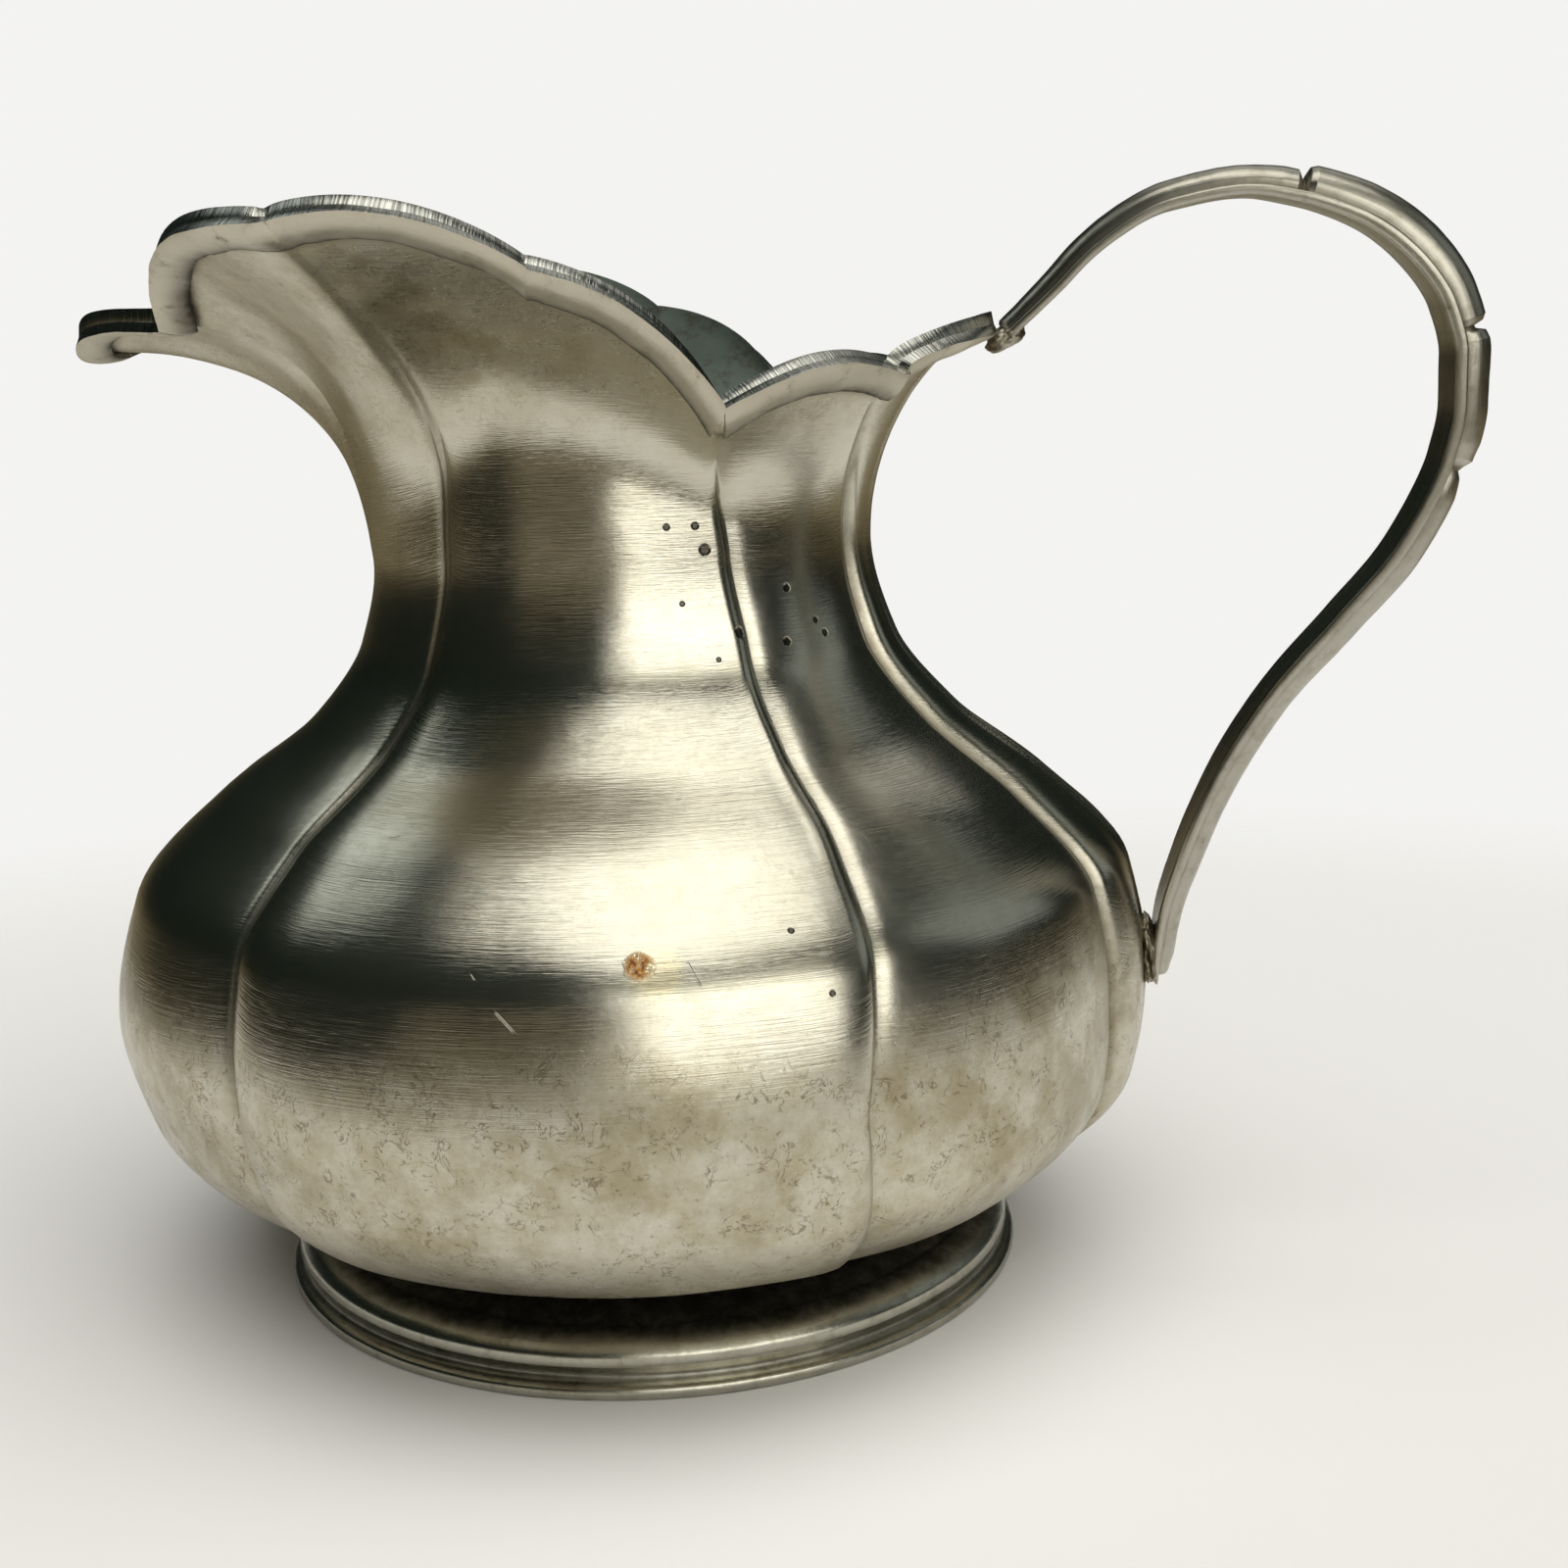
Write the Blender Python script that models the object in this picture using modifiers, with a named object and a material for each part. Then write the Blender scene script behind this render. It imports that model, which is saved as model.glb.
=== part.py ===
"""Lobed pewter milk jug: two cast body halves, bottom disc, moulded foot, rim bands, strap handle."""
import math

import bmesh
import bpy
from mathutils import Vector

MM = 0.001
AXIS_X = -13.3            # body axis, so the whole jug is centred on the origin

# body, millimetres from the body axis and the table
WALL = 1.2                # wall thickness
GAP = 0.3                 # room left between touching pieces
SEAM = 0.5                # room left between the two halves, for the solder seam
NECK_Z = 68.0             # narrowest part, where the mouth begins to open
# height, mean radius, how much further the front stands out than the rear
PROFILE = [
    (7.4, 25.8, 0.0),
    (8.6, 29.5, 0.0),
    (12.0, 40.6, 0.0),
    (19.0, 46.7, 0.2),
    (27.5, 48.3, 0.8),
    (38.0, 46.2, 0.5),
    (46.0, 38.8, 0.2),
    (53.0, 29.8, 0.1),
    (60.0, 24.6, 0.4),
    (NECK_Z, 22.8, 0.7),
]
# depth of the creases between the lobes, by height
CREASE_DEPTH = [(7.4, 0.0), (12.0, 1.5), (27.0, 2.2), (45.0, 1.9), (60.0, 1.3), (NECK_Z, 1.1)]
# how late each lobe turns down into its crease; the side lobe stands proud of its neighbours
REAR_SQUARE = 5.0
FLAT_SQUARE = 1.5
SIDE_SQUARE = 9.0
SPOUT_SQUARE = 2.6
SMALL_LOBE_DROP = 0.55    # share of the crease depth by which the lobe beside the rear one lies lower
# azimuth of each crease from the handle, by height
CREASE_REAR = [(8.0, 14.0), (NECK_Z, 14.0)]
CREASE_SIDE = [(8.0, 56.5), (27.0, 58.3), (48.0, 54.5), (62.0, 55.0), (NECK_Z, 57.0)]
CREASE_FRONT = [(8.0, 127.0), (27.0, 126.0), (46.0, 129.5), (60.0, 127.0), (NECK_Z, 125.5)]

# rim: azimuth from the handle, radius, height of each notch on the left side
NOTCHES = [
    (27.3, 28.9, 83.5),
    (63.5, 27.2, 81.2),
    (92.5, 33.2, 92.3),
    (118.5, 41.9, 96.1),
    (157.0, 40.2, 88.9),
]
REAR_APEX = (33.7, 86.9)
SPOUT_TIP = (50.1, 86.4)
# scallops between the notches: how far each swells out and up, skew and squareness
SWELLS = [
    (0.6, 2.1, 1.0, 1.05),
    (0.5, 2.0, 1.0, 0.9),
    (1.4, 2.1, 1.0, 0.8),
    (1.8, 2.4, 0.5, 1.1),
]
RIGHT_SAG = (0.6, 0.0, 3.4, 3.0, 0.0)   # the right side of the rim was trimmed lower
RIGHT_SWELL = 0.8         # and its scallops rise a little less

# mouth: azimuth, tilt of the wall at the rim, reach of the lower and upper curve handles,
# slope of the wall at the neck, height over which it stays straight above the neck
FLARES = [
    (0.0, 11.0, 0.43, 0.34, -0.03, 0.0),
    (27.3, 45.0, 0.45, 0.36, -0.05, 0.0),
    (45.0, 52.0, 0.50, 0.42, -0.07, 1.5),
    (63.5, 60.0, 0.50, 0.36, -0.08, 3.0),
    (79.0, 54.0, 0.50, 0.44, -0.09, 6.0),
    (92.5, 50.0, 0.50, 0.47, -0.09, 8.0),
    (107.0, 44.0, 0.50, 0.50, -0.08, 9.0),
    (118.5, 40.0, 0.47, 0.44, -0.02, 5.0),
    (140.0, 24.0, 0.48, 0.50, 0.08, 1.0),
    (157.0, 4.0, 0.50, 0.55, 0.11, 0.0),
    (180.0, -2.0, 0.57, 0.57, 0.12, 0.0),
]

BAND_DEEP = 2.6           # height of the applied rim band
BAND_THICK = 0.8

# foot ring: outside from the floor up, then the hollow from the top down, radius and height
FOOT_OUTSIDE = [
    (35.0, 0.0),
    (35.1, 1.1),
    (34.4, 1.5),
    (34.2, 2.3),
    (34.5, 3.2),
    (33.8, 4.3),
    (31.4, 5.1),
    (28.2, 5.5),
    (25.6, 5.9),
    (25.2, 6.7),
]
FOOT_INSIDE = [(23.0, 6.7), (23.2, 4.6), (27.5, 3.8), (31.0, 3.2), (32.6, 1.6), (32.8, 0.0)]
DISC_RADIUS = 24.7
DISC_Z = 7.1
DISC_THICK = 1.2

# handle: distance out from the axis, height, thickness, width
HANDLE_PATH = [
    (34.9, 86.8, 2.2, 6.0),
    (38.4, 90.2, 2.3, 6.4),
    (42.2, 93.9, 2.5, 6.8),
    (48.6, 97.6, 2.6, 7.0),
    (55.4, 98.7, 2.7, 7.2),
    (60.0, 98.1, 3.0, 7.4),
    (65.8, 96.2, 3.4, 7.6),
    (70.6, 92.7, 3.6, 7.8),
    (73.8, 88.1, 3.6, 7.8),
    (75.0, 83.4, 3.6, 7.8),
    (75.0, 79.0, 3.5, 7.8),
    (74.2, 74.4, 3.5, 7.6),
    (70.3, 66.2, 3.4, 7.4),
    (65.1, 59.9, 3.2, 7.2),
    (59.2, 53.0, 3.0, 7.0),
    (54.8, 45.8, 2.9, 6.8),
    (51.7, 38.2, 2.8, 6.6),
    (50.1, 32.2, 2.6, 6.0),
    (49.5, 27.0, 2.4, 5.0),
]
STRIP = 0.3               # share of the thickness taken by the flat inner strip

COLUMNS = (4, 6, 5, 5, 7, 5)   # columns across each rim scallop, handle to spout
LOW_ROWS = 13
TOP_ROWS = 8


def clear_scene():
    for obj in list(bpy.data.objects):
        bpy.data.objects.remove(obj)


def collection(name):
    made = bpy.data.collections.new(name)
    bpy.context.scene.collection.children.link(made)
    return made


def metal(name, colour, roughness):
    made = bpy.data.materials.new(name)
    made.use_nodes = True
    shader = made.node_tree.nodes["Principled BSDF"]
    shader.inputs["Base Color"].default_value = (*colour, 1.0)
    shader.inputs["Metallic"].default_value = 1.0
    shader.inputs["Roughness"].default_value = roughness
    return made


def blend(table, x, column=1):
    """straight-line reading of one column of a table"""
    if x <= table[0][0]:
        return table[0][column]
    for low, high in zip(table, table[1:]):
        if x <= high[0]:
            share = (x - low[0]) / (high[0] - low[0])
            return low[column] + (high[column] - low[column]) * share
    return table[-1][column]


def slopes(xs, ys):
    """slopes for a smooth curve that never overshoots its points"""
    steps = [(ys[i + 1] - ys[i]) / (xs[i + 1] - xs[i]) for i in range(len(xs) - 1)]
    out = [steps[0]]
    for a, b in zip(steps, steps[1:]):
        out.append(0.0 if a * b <= 0 else 2.0 * a * b / (a + b))
    out.append(steps[-1])
    return out


def smooth(xs, ys, x):
    """smooth reading of a list of points"""
    rates = slopes(xs, ys)
    i = 0
    while i < len(xs) - 2 and x > xs[i + 1]:
        i += 1
    h = xs[i + 1] - xs[i]
    t = (x - xs[i]) / h
    a = (2 * t - 3) * t * t + 1
    b = ((t - 2) * t + 1) * t
    c = (3 - 2 * t) * t * t
    d = (t - 1) * t * t
    return a * ys[i] + b * h * rates[i] + c * ys[i + 1] + d * h * rates[i + 1]


def rim(scallop, t, side):
    """azimuth, radius, height of the rim, t across one scallop"""
    marks = [list(n) for n in NOTCHES]
    for mark, sag in zip(marks, RIGHT_SAG):
        if side > 0:
            mark[2] -= sag
    if scallop == 0:
        first = marks[0]
        rise = math.cos(math.pi / 2 * t)
        return (
            first[0] * t,
            first[1] + (REAR_APEX[0] - first[1]) * rise,
            first[2] + (REAR_APEX[1] - first[2]) * rise ** 0.5,
        )
    if scallop == 5:
        last = marks[4]
        rise = math.sin(math.pi / 2 * t)
        return (
            last[0] + (180.0 - last[0]) * t,
            last[1] + (SPOUT_TIP[0] - last[1]) * rise,
            last[2] + (SPOUT_TIP[1] - last[2]) * rise ** 6,
        )
    low, high = marks[scallop - 1], marks[scallop]
    out, up, skew, square = SWELLS[scallop - 1]
    if side > 0:
        up *= RIGHT_SWELL
    bulge = math.sin(math.pi * t ** skew)
    bulge = max(bulge, 0.0) ** square
    even = max(math.sin(math.pi * t), 0.0) ** min(square, 1.0)
    return (
        low[0] + (high[0] - low[0]) * t,
        low[1] + (high[1] - low[1]) * t + out * bulge,
        low[2] + (high[2] - low[2]) * t + up * even,
    )


def columns():
    """every column of the wall: its scallop and its place across it"""
    out = []
    for scallop, count in enumerate(COLUMNS):
        for i in range(count):
            out.append((scallop, i / count))
    out.append((5, 1.0))
    return out


# the rim azimuths that the three creases run up to
RIM_CREASES = (0.0, NOTCHES[0][0], NOTCHES[1][0], NOTCHES[3][0], 180.0)


def lobe_of(rim_azimuth):
    """which body lobe a column belongs to and how far across it"""
    for lobe in range(4):
        low, high = RIM_CREASES[lobe], RIM_CREASES[lobe + 1]
        if rim_azimuth <= high + 1e-6:
            return lobe, (rim_azimuth - low) / (high - low)
    return 3, 1.0


def crease_azimuths(z):
    return (0.0, blend(CREASE_REAR, z), blend(CREASE_SIDE, z), blend(CREASE_FRONT, z), 180.0)


def fullness(lobe, across):
    """0 where a lobe stands full, 1 in the crease beside it"""
    if lobe == 0:
        return across ** REAR_SQUARE
    if lobe == 3:
        return (1.0 - across) ** SPOUT_SQUARE
    edge = abs(2.0 * across - 1.0)
    if lobe == 2:
        return edge ** SIDE_SQUARE
    square = REAR_SQUARE if across < 0.5 else FLAT_SQUARE
    return SMALL_LOBE_DROP + (1.0 - SMALL_LOBE_DROP) * edge ** square


def neck_slope(lobe, across):
    """radius gained per millimetre of height where the mouth begins"""
    low, high = RIM_CREASES[lobe], RIM_CREASES[lobe + 1]
    return blend(FLARES, low + (high - low) * across, 4)


def low_wall(lobe, across, z):
    """azimuth and radius of the outside of the body below the neck"""
    marks = crease_azimuths(z)
    azimuth = marks[lobe] + (marks[lobe + 1] - marks[lobe]) * across
    heights = [p[0] for p in PROFILE]
    radius = smooth(heights, [p[1] for p in PROFILE], z)
    lean = smooth(heights, [p[2] for p in PROFILE], z)
    radius -= lean * math.cos(math.radians(azimuth))
    radius -= fullness(lobe, across) * blend(CREASE_DEPTH, z)
    shoulder = heights[-2]
    if z > shoulder:
        # ease into the slope at the neck
        span = NECK_Z - shoulder
        t = (z - shoulder) / span
        straight = (PROFILE[-1][1] - PROFILE[-2][1]) / span
        radius += (neck_slope(lobe, across) - straight) * span * (t - 1) * t * t
    return azimuth, radius


def mouth_wall(column, side, t):
    """azimuth, radius, height of the outside between neck and rim"""
    rim_azimuth, rim_radius, rim_z = rim(*column, side)
    lobe, across = lobe_of(rim_azimuth)
    neck_azimuth, neck_radius = low_wall(lobe, across, NECK_Z)
    tilt = math.radians(blend(FLARES, rim_azimuth, 1))
    reach_low = blend(FLARES, rim_azimuth, 2)
    reach_high = blend(FLARES, rim_azimuth, 3)
    slope = blend(FLARES, rim_azimuth, 4)
    stay = blend(FLARES, rim_azimuth, 5)
    start = (neck_radius + slope * stay, NECK_Z + stay)
    rise = rim_z - start[1]
    span = math.hypot(rim_radius - start[0], rise)
    points = (
        start,
        (start[0] + slope * reach_low * rise, start[1] + reach_low * rise),
        (rim_radius - reach_high * span * math.cos(tilt), rim_z - reach_high * span * math.sin(tilt)),
        (rim_radius, rim_z),
    )
    straight = stay / (stay + 1.1 * span)
    if t < straight:
        radius = neck_radius + slope * stay * t / straight
        height = NECK_Z + stay * t / straight
    else:
        u = (t - straight) / (1 - straight)
        weights = ((1 - u) ** 3, 3 * u * (1 - u) ** 2, 3 * u * u * (1 - u), u ** 3)
        radius = sum(w * p[0] for w, p in zip(weights, points))
        height = sum(w * p[1] for w, p in zip(weights, points))
    turn = t * t * (3 - 2 * t)
    return neck_azimuth + (rim_azimuth - neck_azimuth) * turn, radius, height


def place(azimuth, radius, z, side):
    angle = math.radians(azimuth)
    return Vector((radius * math.cos(angle), side * radius * math.sin(angle), z))


def wall_column(column, side):
    """points up the outside of the wall, bottom to rim"""
    rim_azimuth = rim(*column, side)[0]
    lobe, across = lobe_of(rim_azimuth)
    heights = [p[0] for p in PROFILE]
    out = []
    for row in range(LOW_ROWS + 1):
        z = smooth(list(range(len(heights))), heights, row * (len(heights) - 1) / LOW_ROWS)
        azimuth, radius = low_wall(lobe, across, z)
        out.append(place(azimuth, radius, z, side))
    for row in range(1, TOP_ROWS + 1):
        out.append(place(*mouth_wall(column, side, row / TOP_ROWS), side))
    return out


def grid_mesh(name, grid, inside_out):
    """one sheet through a grid of points, thickened later"""
    mesh = bpy.data.meshes.new(name)
    rows = len(grid[0])
    points = [tuple(p * MM) for column in grid for p in column]
    faces = []
    for i in range(len(grid) - 1):
        for j in range(rows - 1):
            a = i * rows + j
            face = (a, a + rows, a + rows + 1, a + 1)
            faces.append(face[::-1] if inside_out else face)
    mesh.from_pydata(points, [], faces)
    mesh.update()
    return mesh


def add_object(name, mesh, group, root, material):
    obj = bpy.data.objects.new(name, mesh)
    group.objects.link(obj)
    obj.parent = root
    mesh.materials.append(material)
    for face in mesh.polygons:
        face.use_smooth = True
    return obj


def thicken(obj, thickness, offset):
    solid = obj.modifiers.new("wall", "SOLIDIFY")
    solid.thickness = thickness * MM
    solid.offset = offset
    solid.use_even_offset = True
    solid.thickness_clamp = 1.0
    return solid


def body_half(name, side, group, root, material):
    grid = [wall_column(column, side) for column in columns()]
    shift = Vector((0.0, side * SEAM / 2, 0.0))
    grid = [[p + shift for p in column] for column in grid]
    mesh = grid_mesh(name, grid, side < 0)
    obj = add_object(name, mesh, group, root, material)
    thicken(obj, WALL, -1.0)
    return obj


def band_column(column, side, rows=3):
    """points down the outside of the wall from the rim, stood off by the gap"""
    length = 0.0
    last = None
    marks = []
    for i in range(61):
        t = 1.0 - i * 0.01
        azimuth, radius, z = mouth_wall(column, side, t)
        here = place(azimuth, radius, z, side)
        if last is not None:
            length += (here - last).length
        marks.append((length, azimuth, radius, z))
        last = here
        if length > BAND_DEEP * 1.3:
            break
    out = []
    for row in range(rows):
        want = BAND_DEEP * row / (rows - 1)
        azimuth = blend(marks, want, 1)
        radius = blend(marks, want, 2)
        z = blend(marks, want, 3)
        ahead = min(want + 0.3, marks[-1][0])
        behind = max(want - 0.3, 0.0)
        run = blend(marks, ahead, 2) - blend(marks, behind, 2)
        fall = blend(marks, ahead, 3) - blend(marks, behind, 3)
        scale = math.hypot(run, fall)
        # outward and downward, square to the wall
        radius -= GAP * fall / scale
        z += GAP * run / scale
        out.append(place(azimuth, radius, z, side))
    return out


def band(name, stretches, group, root, material):
    """an applied band along some scallops; each stretch is a side and its scallops"""
    grid = []
    for side, scallops in stretches:
        run = []
        for scallop in scallops:
            count = COLUMNS[scallop] + 2
            for i in range(count + 1):
                run.append((scallop, i / count))
        run = [c for i, c in enumerate(run) if i == 0 or c[1] > 0.0]
        if side > 0:
            run = run[::-1]
        part = [band_column(c, side) for c in run]
        if grid and (part[0][0] - grid[-1][0]).length < 0.01:
            part = part[1:]
        grid += part
    trim_ends(grid)
    mesh = grid_mesh(name, grid, False)
    obj = add_object(name, mesh, group, root, material)
    thicken(obj, BAND_THICK, 1.0)
    return obj


def trim_ends(grid):
    """draw both ends back a little so neighbouring bands do not touch"""
    for end, inner in ((0, 1), (-1, -2)):
        for j, point in enumerate(grid[end]):
            step = grid[inner][j] - point
            grid[end][j] = point + step.normalized() * (BAND_THICK + GAP)


def turned(name, profile, steps, group, root, material):
    """a closed ring profile turned about the body axis with a Screw"""
    mesh = bpy.data.meshes.new(name)
    points = [(r * MM, 0.0, z * MM) for r, z in profile]
    edges = [(i, (i + 1) % len(points)) for i in range(len(points))]
    mesh.from_pydata(points, edges, [])
    obj = add_object(name, mesh, group, root, material)
    turn = obj.modifiers.new("turn", "SCREW")
    turn.steps = steps
    turn.render_steps = steps
    turn.use_merge_vertices = True
    turn.merge_threshold = 0.00001
    turn.use_smooth_shade = True
    return obj


def disc(name, radius, z, thickness, group, root, material):
    bpy.ops.mesh.primitive_cylinder_add(vertices=64, radius=radius * MM, depth=thickness * MM)
    obj = bpy.context.object
    obj.name = name
    obj.location = (0.0, 0.0, (z + thickness / 2) * MM)
    obj.parent = root
    for old in list(obj.users_collection):
        old.objects.unlink(obj)
    group.objects.link(obj)
    obj.data.materials.append(material)
    edge = obj.modifiers.new("edge", "BEVEL")
    edge.width = 0.2 * MM
    edge.segments = 1
    return obj


def handle_section(thickness, width):
    """across and outward: flat inner strip, then a rounded rib outside it"""
    half = width / 2
    strip = thickness * STRIP
    out = [(-half, 0.0), (half, 0.0), (half, strip * 0.85), (half * 0.78, strip)]
    for i in range(1, 6):
        angle = math.pi * i / 6
        out.append((half * 0.72 * math.cos(angle), strip + (thickness - strip) * math.sin(angle)))
    out += [(-half * 0.78, strip), (-half, strip * 0.85)]
    return out


def handle(name, group, root, material):
    mesh = bpy.data.meshes.new(name)
    count = len(HANDLE_PATH)
    steps = list(range(count))
    reads = [[p[i] for p in HANDLE_PATH] for i in range(4)]
    rings = []
    total = (count - 1) * 2
    for i in range(total + 1):
        at = i / 2
        x, z, thickness, width = (smooth(steps, values, at) for values in reads)
        before = max(at - 0.25, 0.0)
        after = min(at + 0.25, count - 1.0)
        along = Vector((
            smooth(steps, reads[0], after) - smooth(steps, reads[0], before),
            0.0,
            smooth(steps, reads[1], after) - smooth(steps, reads[1], before),
        )).normalized()
        outward = Vector((-along.z, 0.0, along.x))
        ring = []
        for across, up in handle_section(thickness, width):
            centre = Vector((x, across, z))
            ring.append(centre + outward * (up - thickness / 2))
        rings.append(ring)
    size = len(rings[0])
    points = [tuple(p * MM) for ring in rings for p in ring]
    faces = [tuple(range(size))]
    for i in range(len(rings) - 1):
        for j in range(size):
            k = (j + 1) % size
            faces.append((i * size + j, (i + 1) * size + j, (i + 1) * size + k, i * size + k))
    last = (len(rings) - 1) * size
    faces.append(tuple(range(last + size - 1, last - 1, -1)))
    mesh.from_pydata(points, [], faces)
    mesh.update()
    shape = bmesh.new()
    shape.from_mesh(mesh)
    bmesh.ops.recalc_face_normals(shape, faces=shape.faces)
    shape.to_mesh(mesh)
    shape.free()
    return add_object(name, mesh, group, root, material)


def pad(name, centre, size, tilt, group, root, material):
    """a small rounded lump of solder"""
    bpy.ops.mesh.primitive_uv_sphere_add(segments=20, ring_count=10, radius=0.5)
    obj = bpy.context.object
    obj.name = name
    obj.scale = Vector(size) * MM
    obj.rotation_euler = (0.0, math.radians(tilt), 0.0)
    obj.location = Vector(centre) * MM
    obj.parent = root
    for old in list(obj.users_collection):
        old.objects.unlink(obj)
    group.objects.link(obj)
    obj.data.materials.append(material)
    for face in obj.data.polygons:
        face.use_smooth = True
    return obj


def lug(name, group, root, material):
    """curved pad between the rear of the body and the lower end of the handle"""
    grid = []
    for i in range(5):
        column = []
        azimuth = (i / 4 - 0.5) * 6.4
        for j in range(5):
            z = 26.2 + j * 1.5
            radius = smooth([p[0] for p in PROFILE], [p[1] - p[2] for p in PROFILE], z) + 0.2
            column.append(place(azimuth, radius, z, -1))
        grid.append(column)
    mesh = grid_mesh(name, grid, True)
    obj = add_object(name, mesh, group, root, material)
    thicken(obj, 0.4, 1.0)
    return obj


def build():
    clear_scene()
    group = collection("lobed_milk_jug")
    root = bpy.data.objects.new("jug_axis", None)
    root.location = (AXIS_X * MM, 0.0, 0.0)
    group.objects.link(root)

    body = metal("pewter_body", (0.46, 0.45, 0.40), 0.28)
    trim = metal("pewter_band", (0.55, 0.53, 0.46), 0.38)
    cast = metal("pewter_cast", (0.56, 0.54, 0.49), 0.32)
    solder = metal("solder", (0.30, 0.29, 0.26), 0.5)

    body_half("body_left", -1, group, root, body)
    body_half("body_right", 1, group, root, body)
    disc("base_disc", DISC_RADIUS, DISC_Z, DISC_THICK, group, root, body)
    turned("foot_ring", FOOT_OUTSIDE[::-1] + FOOT_INSIDE[::-1], 64, group, root, cast)

    band("band_left", [(-1, (2, 3, 4))], group, root, trim)
    band("band_right", [(1, (2, 3, 4))], group, root, trim)
    band("band_rear", [(1, (0, 1)), (-1, (0, 1))], group, root, trim)
    band("band_spout", [(-1, (5,)), (1, (5,))], group, root, trim)

    handle("handle", group, root, cast)
    pad("handle_solder", (35.6, 0.0, 84.6), (2.4, 5.2, 2.2), -35.0, group, root, solder)
    lug("handle_lug", group, root, solder)


build()
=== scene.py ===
"""Studio scene of a lobed pewter milk jug: cast halves, scalloped rim bands, moulded foot, strap handle.

Millimetres from the jug's axis, degrees from the handle; side -1 is the viewer's, side 1 the far one.
"""
import math

import bpy
from mathutils import Matrix, Vector, noise


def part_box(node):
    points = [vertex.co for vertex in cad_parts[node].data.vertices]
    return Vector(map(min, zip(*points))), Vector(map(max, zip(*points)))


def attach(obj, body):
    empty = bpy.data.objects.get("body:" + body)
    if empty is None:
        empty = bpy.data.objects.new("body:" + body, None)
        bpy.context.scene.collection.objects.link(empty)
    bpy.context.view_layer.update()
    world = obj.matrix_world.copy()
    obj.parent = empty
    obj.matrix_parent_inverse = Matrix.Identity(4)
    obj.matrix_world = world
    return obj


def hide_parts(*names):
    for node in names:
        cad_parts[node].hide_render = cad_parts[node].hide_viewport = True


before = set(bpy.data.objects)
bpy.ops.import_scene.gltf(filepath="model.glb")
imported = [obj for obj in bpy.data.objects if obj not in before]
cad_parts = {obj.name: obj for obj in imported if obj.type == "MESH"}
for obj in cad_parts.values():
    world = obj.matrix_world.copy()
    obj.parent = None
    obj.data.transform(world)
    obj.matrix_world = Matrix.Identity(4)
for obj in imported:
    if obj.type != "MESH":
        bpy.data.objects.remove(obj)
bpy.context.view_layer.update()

MM = 0.001
FOOT_LOW, FOOT_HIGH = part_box("foot_ring")
AXIS_X = (FOOT_LOW.x + FOOT_HIGH.x) / 2     # the body axis, in metres

# ---------------- the jug's own measures
WALL = 1.2
NECK_Z = 68.0
# height, mean radius, how far the front stands out beyond the mean and the rear stays within it
PROFILE = [
    (7.2, 25.4, 0.0),
    (8.6, 29.5, 0.0),
    (12.0, 40.6, 0.0),
    (19.0, 46.7, 0.2),
    (27.5, 48.3, 0.8),
    (38.0, 46.2, 0.5),
    (46.0, 38.8, 0.2),
    (53.0, 29.8, 0.1),
    (60.0, 24.6, 0.4),
    (NECK_Z, 22.8, 0.7),
]
# the creases between the lobes: height, depth; then, crease by crease, height, azimuth
CREASE_DEPTH = [(7.4, 0.0), (12.0, 1.5), (27.0, 2.2), (45.0, 1.9), (60.0, 1.3), (NECK_Z, 1.1)]
CREASE_REAR = [(8.0, 14.0), (NECK_Z, 14.0)]
CREASE_SIDE = [(8.0, 56.5), (27.0, 58.3), (48.0, 54.5), (62.0, 55.0), (NECK_Z, 57.0)]
CREASE_FRONT = [(8.0, 127.0), (27.0, 126.0), (46.0, 129.5), (60.0, 127.0), (NECK_Z, 125.5)]
# height, depth of the V cut along each crease; height, size of the bead of solder in the front one
CUT_REAR = [(10, 0.1), (25, 0.35), (60, 0.45), (85, 0.2)]
CUT_SIDE = [(10, 0.0), (25, 0.08), (45, 0.16), (54, 0.18), (62, 0.12), (76, 0.06), (84, 0.0)]
CUT_FRONT = [(10, 0.05), (25, 0.25), (45, 0.40), (58, 0.60), (76, 0.60), (86, 0.2), (90, 0.0)]
BEAD_FRONT = [(36, 0.0), (46, 0.30), (62, 0.62), (78, 0.62), (86, 0.2), (90, 0.0)]

# where two scallops of the rim meet: azimuth, radius, height
NOTCHES = [
    (27.3, 28.9, 83.5),
    (63.5, 27.2, 81.2),
    (92.5, 33.2, 92.3),
    (118.5, 41.9, 96.1),
    (157.0, 40.2, 88.9),
]
# the rim at the handle and at the spout's tip: radius, height
REAR_APEX = (33.7, 86.9)
SPOUT_TIP = (50.1, 86.4)
# the scallops between two notches: swell outward, swell upward, skew, squareness
SWELLS = [
    (0.6, 2.1, 1.0, 1.05),
    (0.5, 2.0, 1.0, 0.9),
    (1.4, 2.1, 1.0, 0.8),
    (1.8, 2.4, 0.5, 1.1),
]
# how much lower each notch lies on the far side, and the share of the upward swell kept there
RIGHT_SAG = (0.6, 0.0, 3.4, 3.0, 0.0)
RIGHT_SWELL = 0.8
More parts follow.
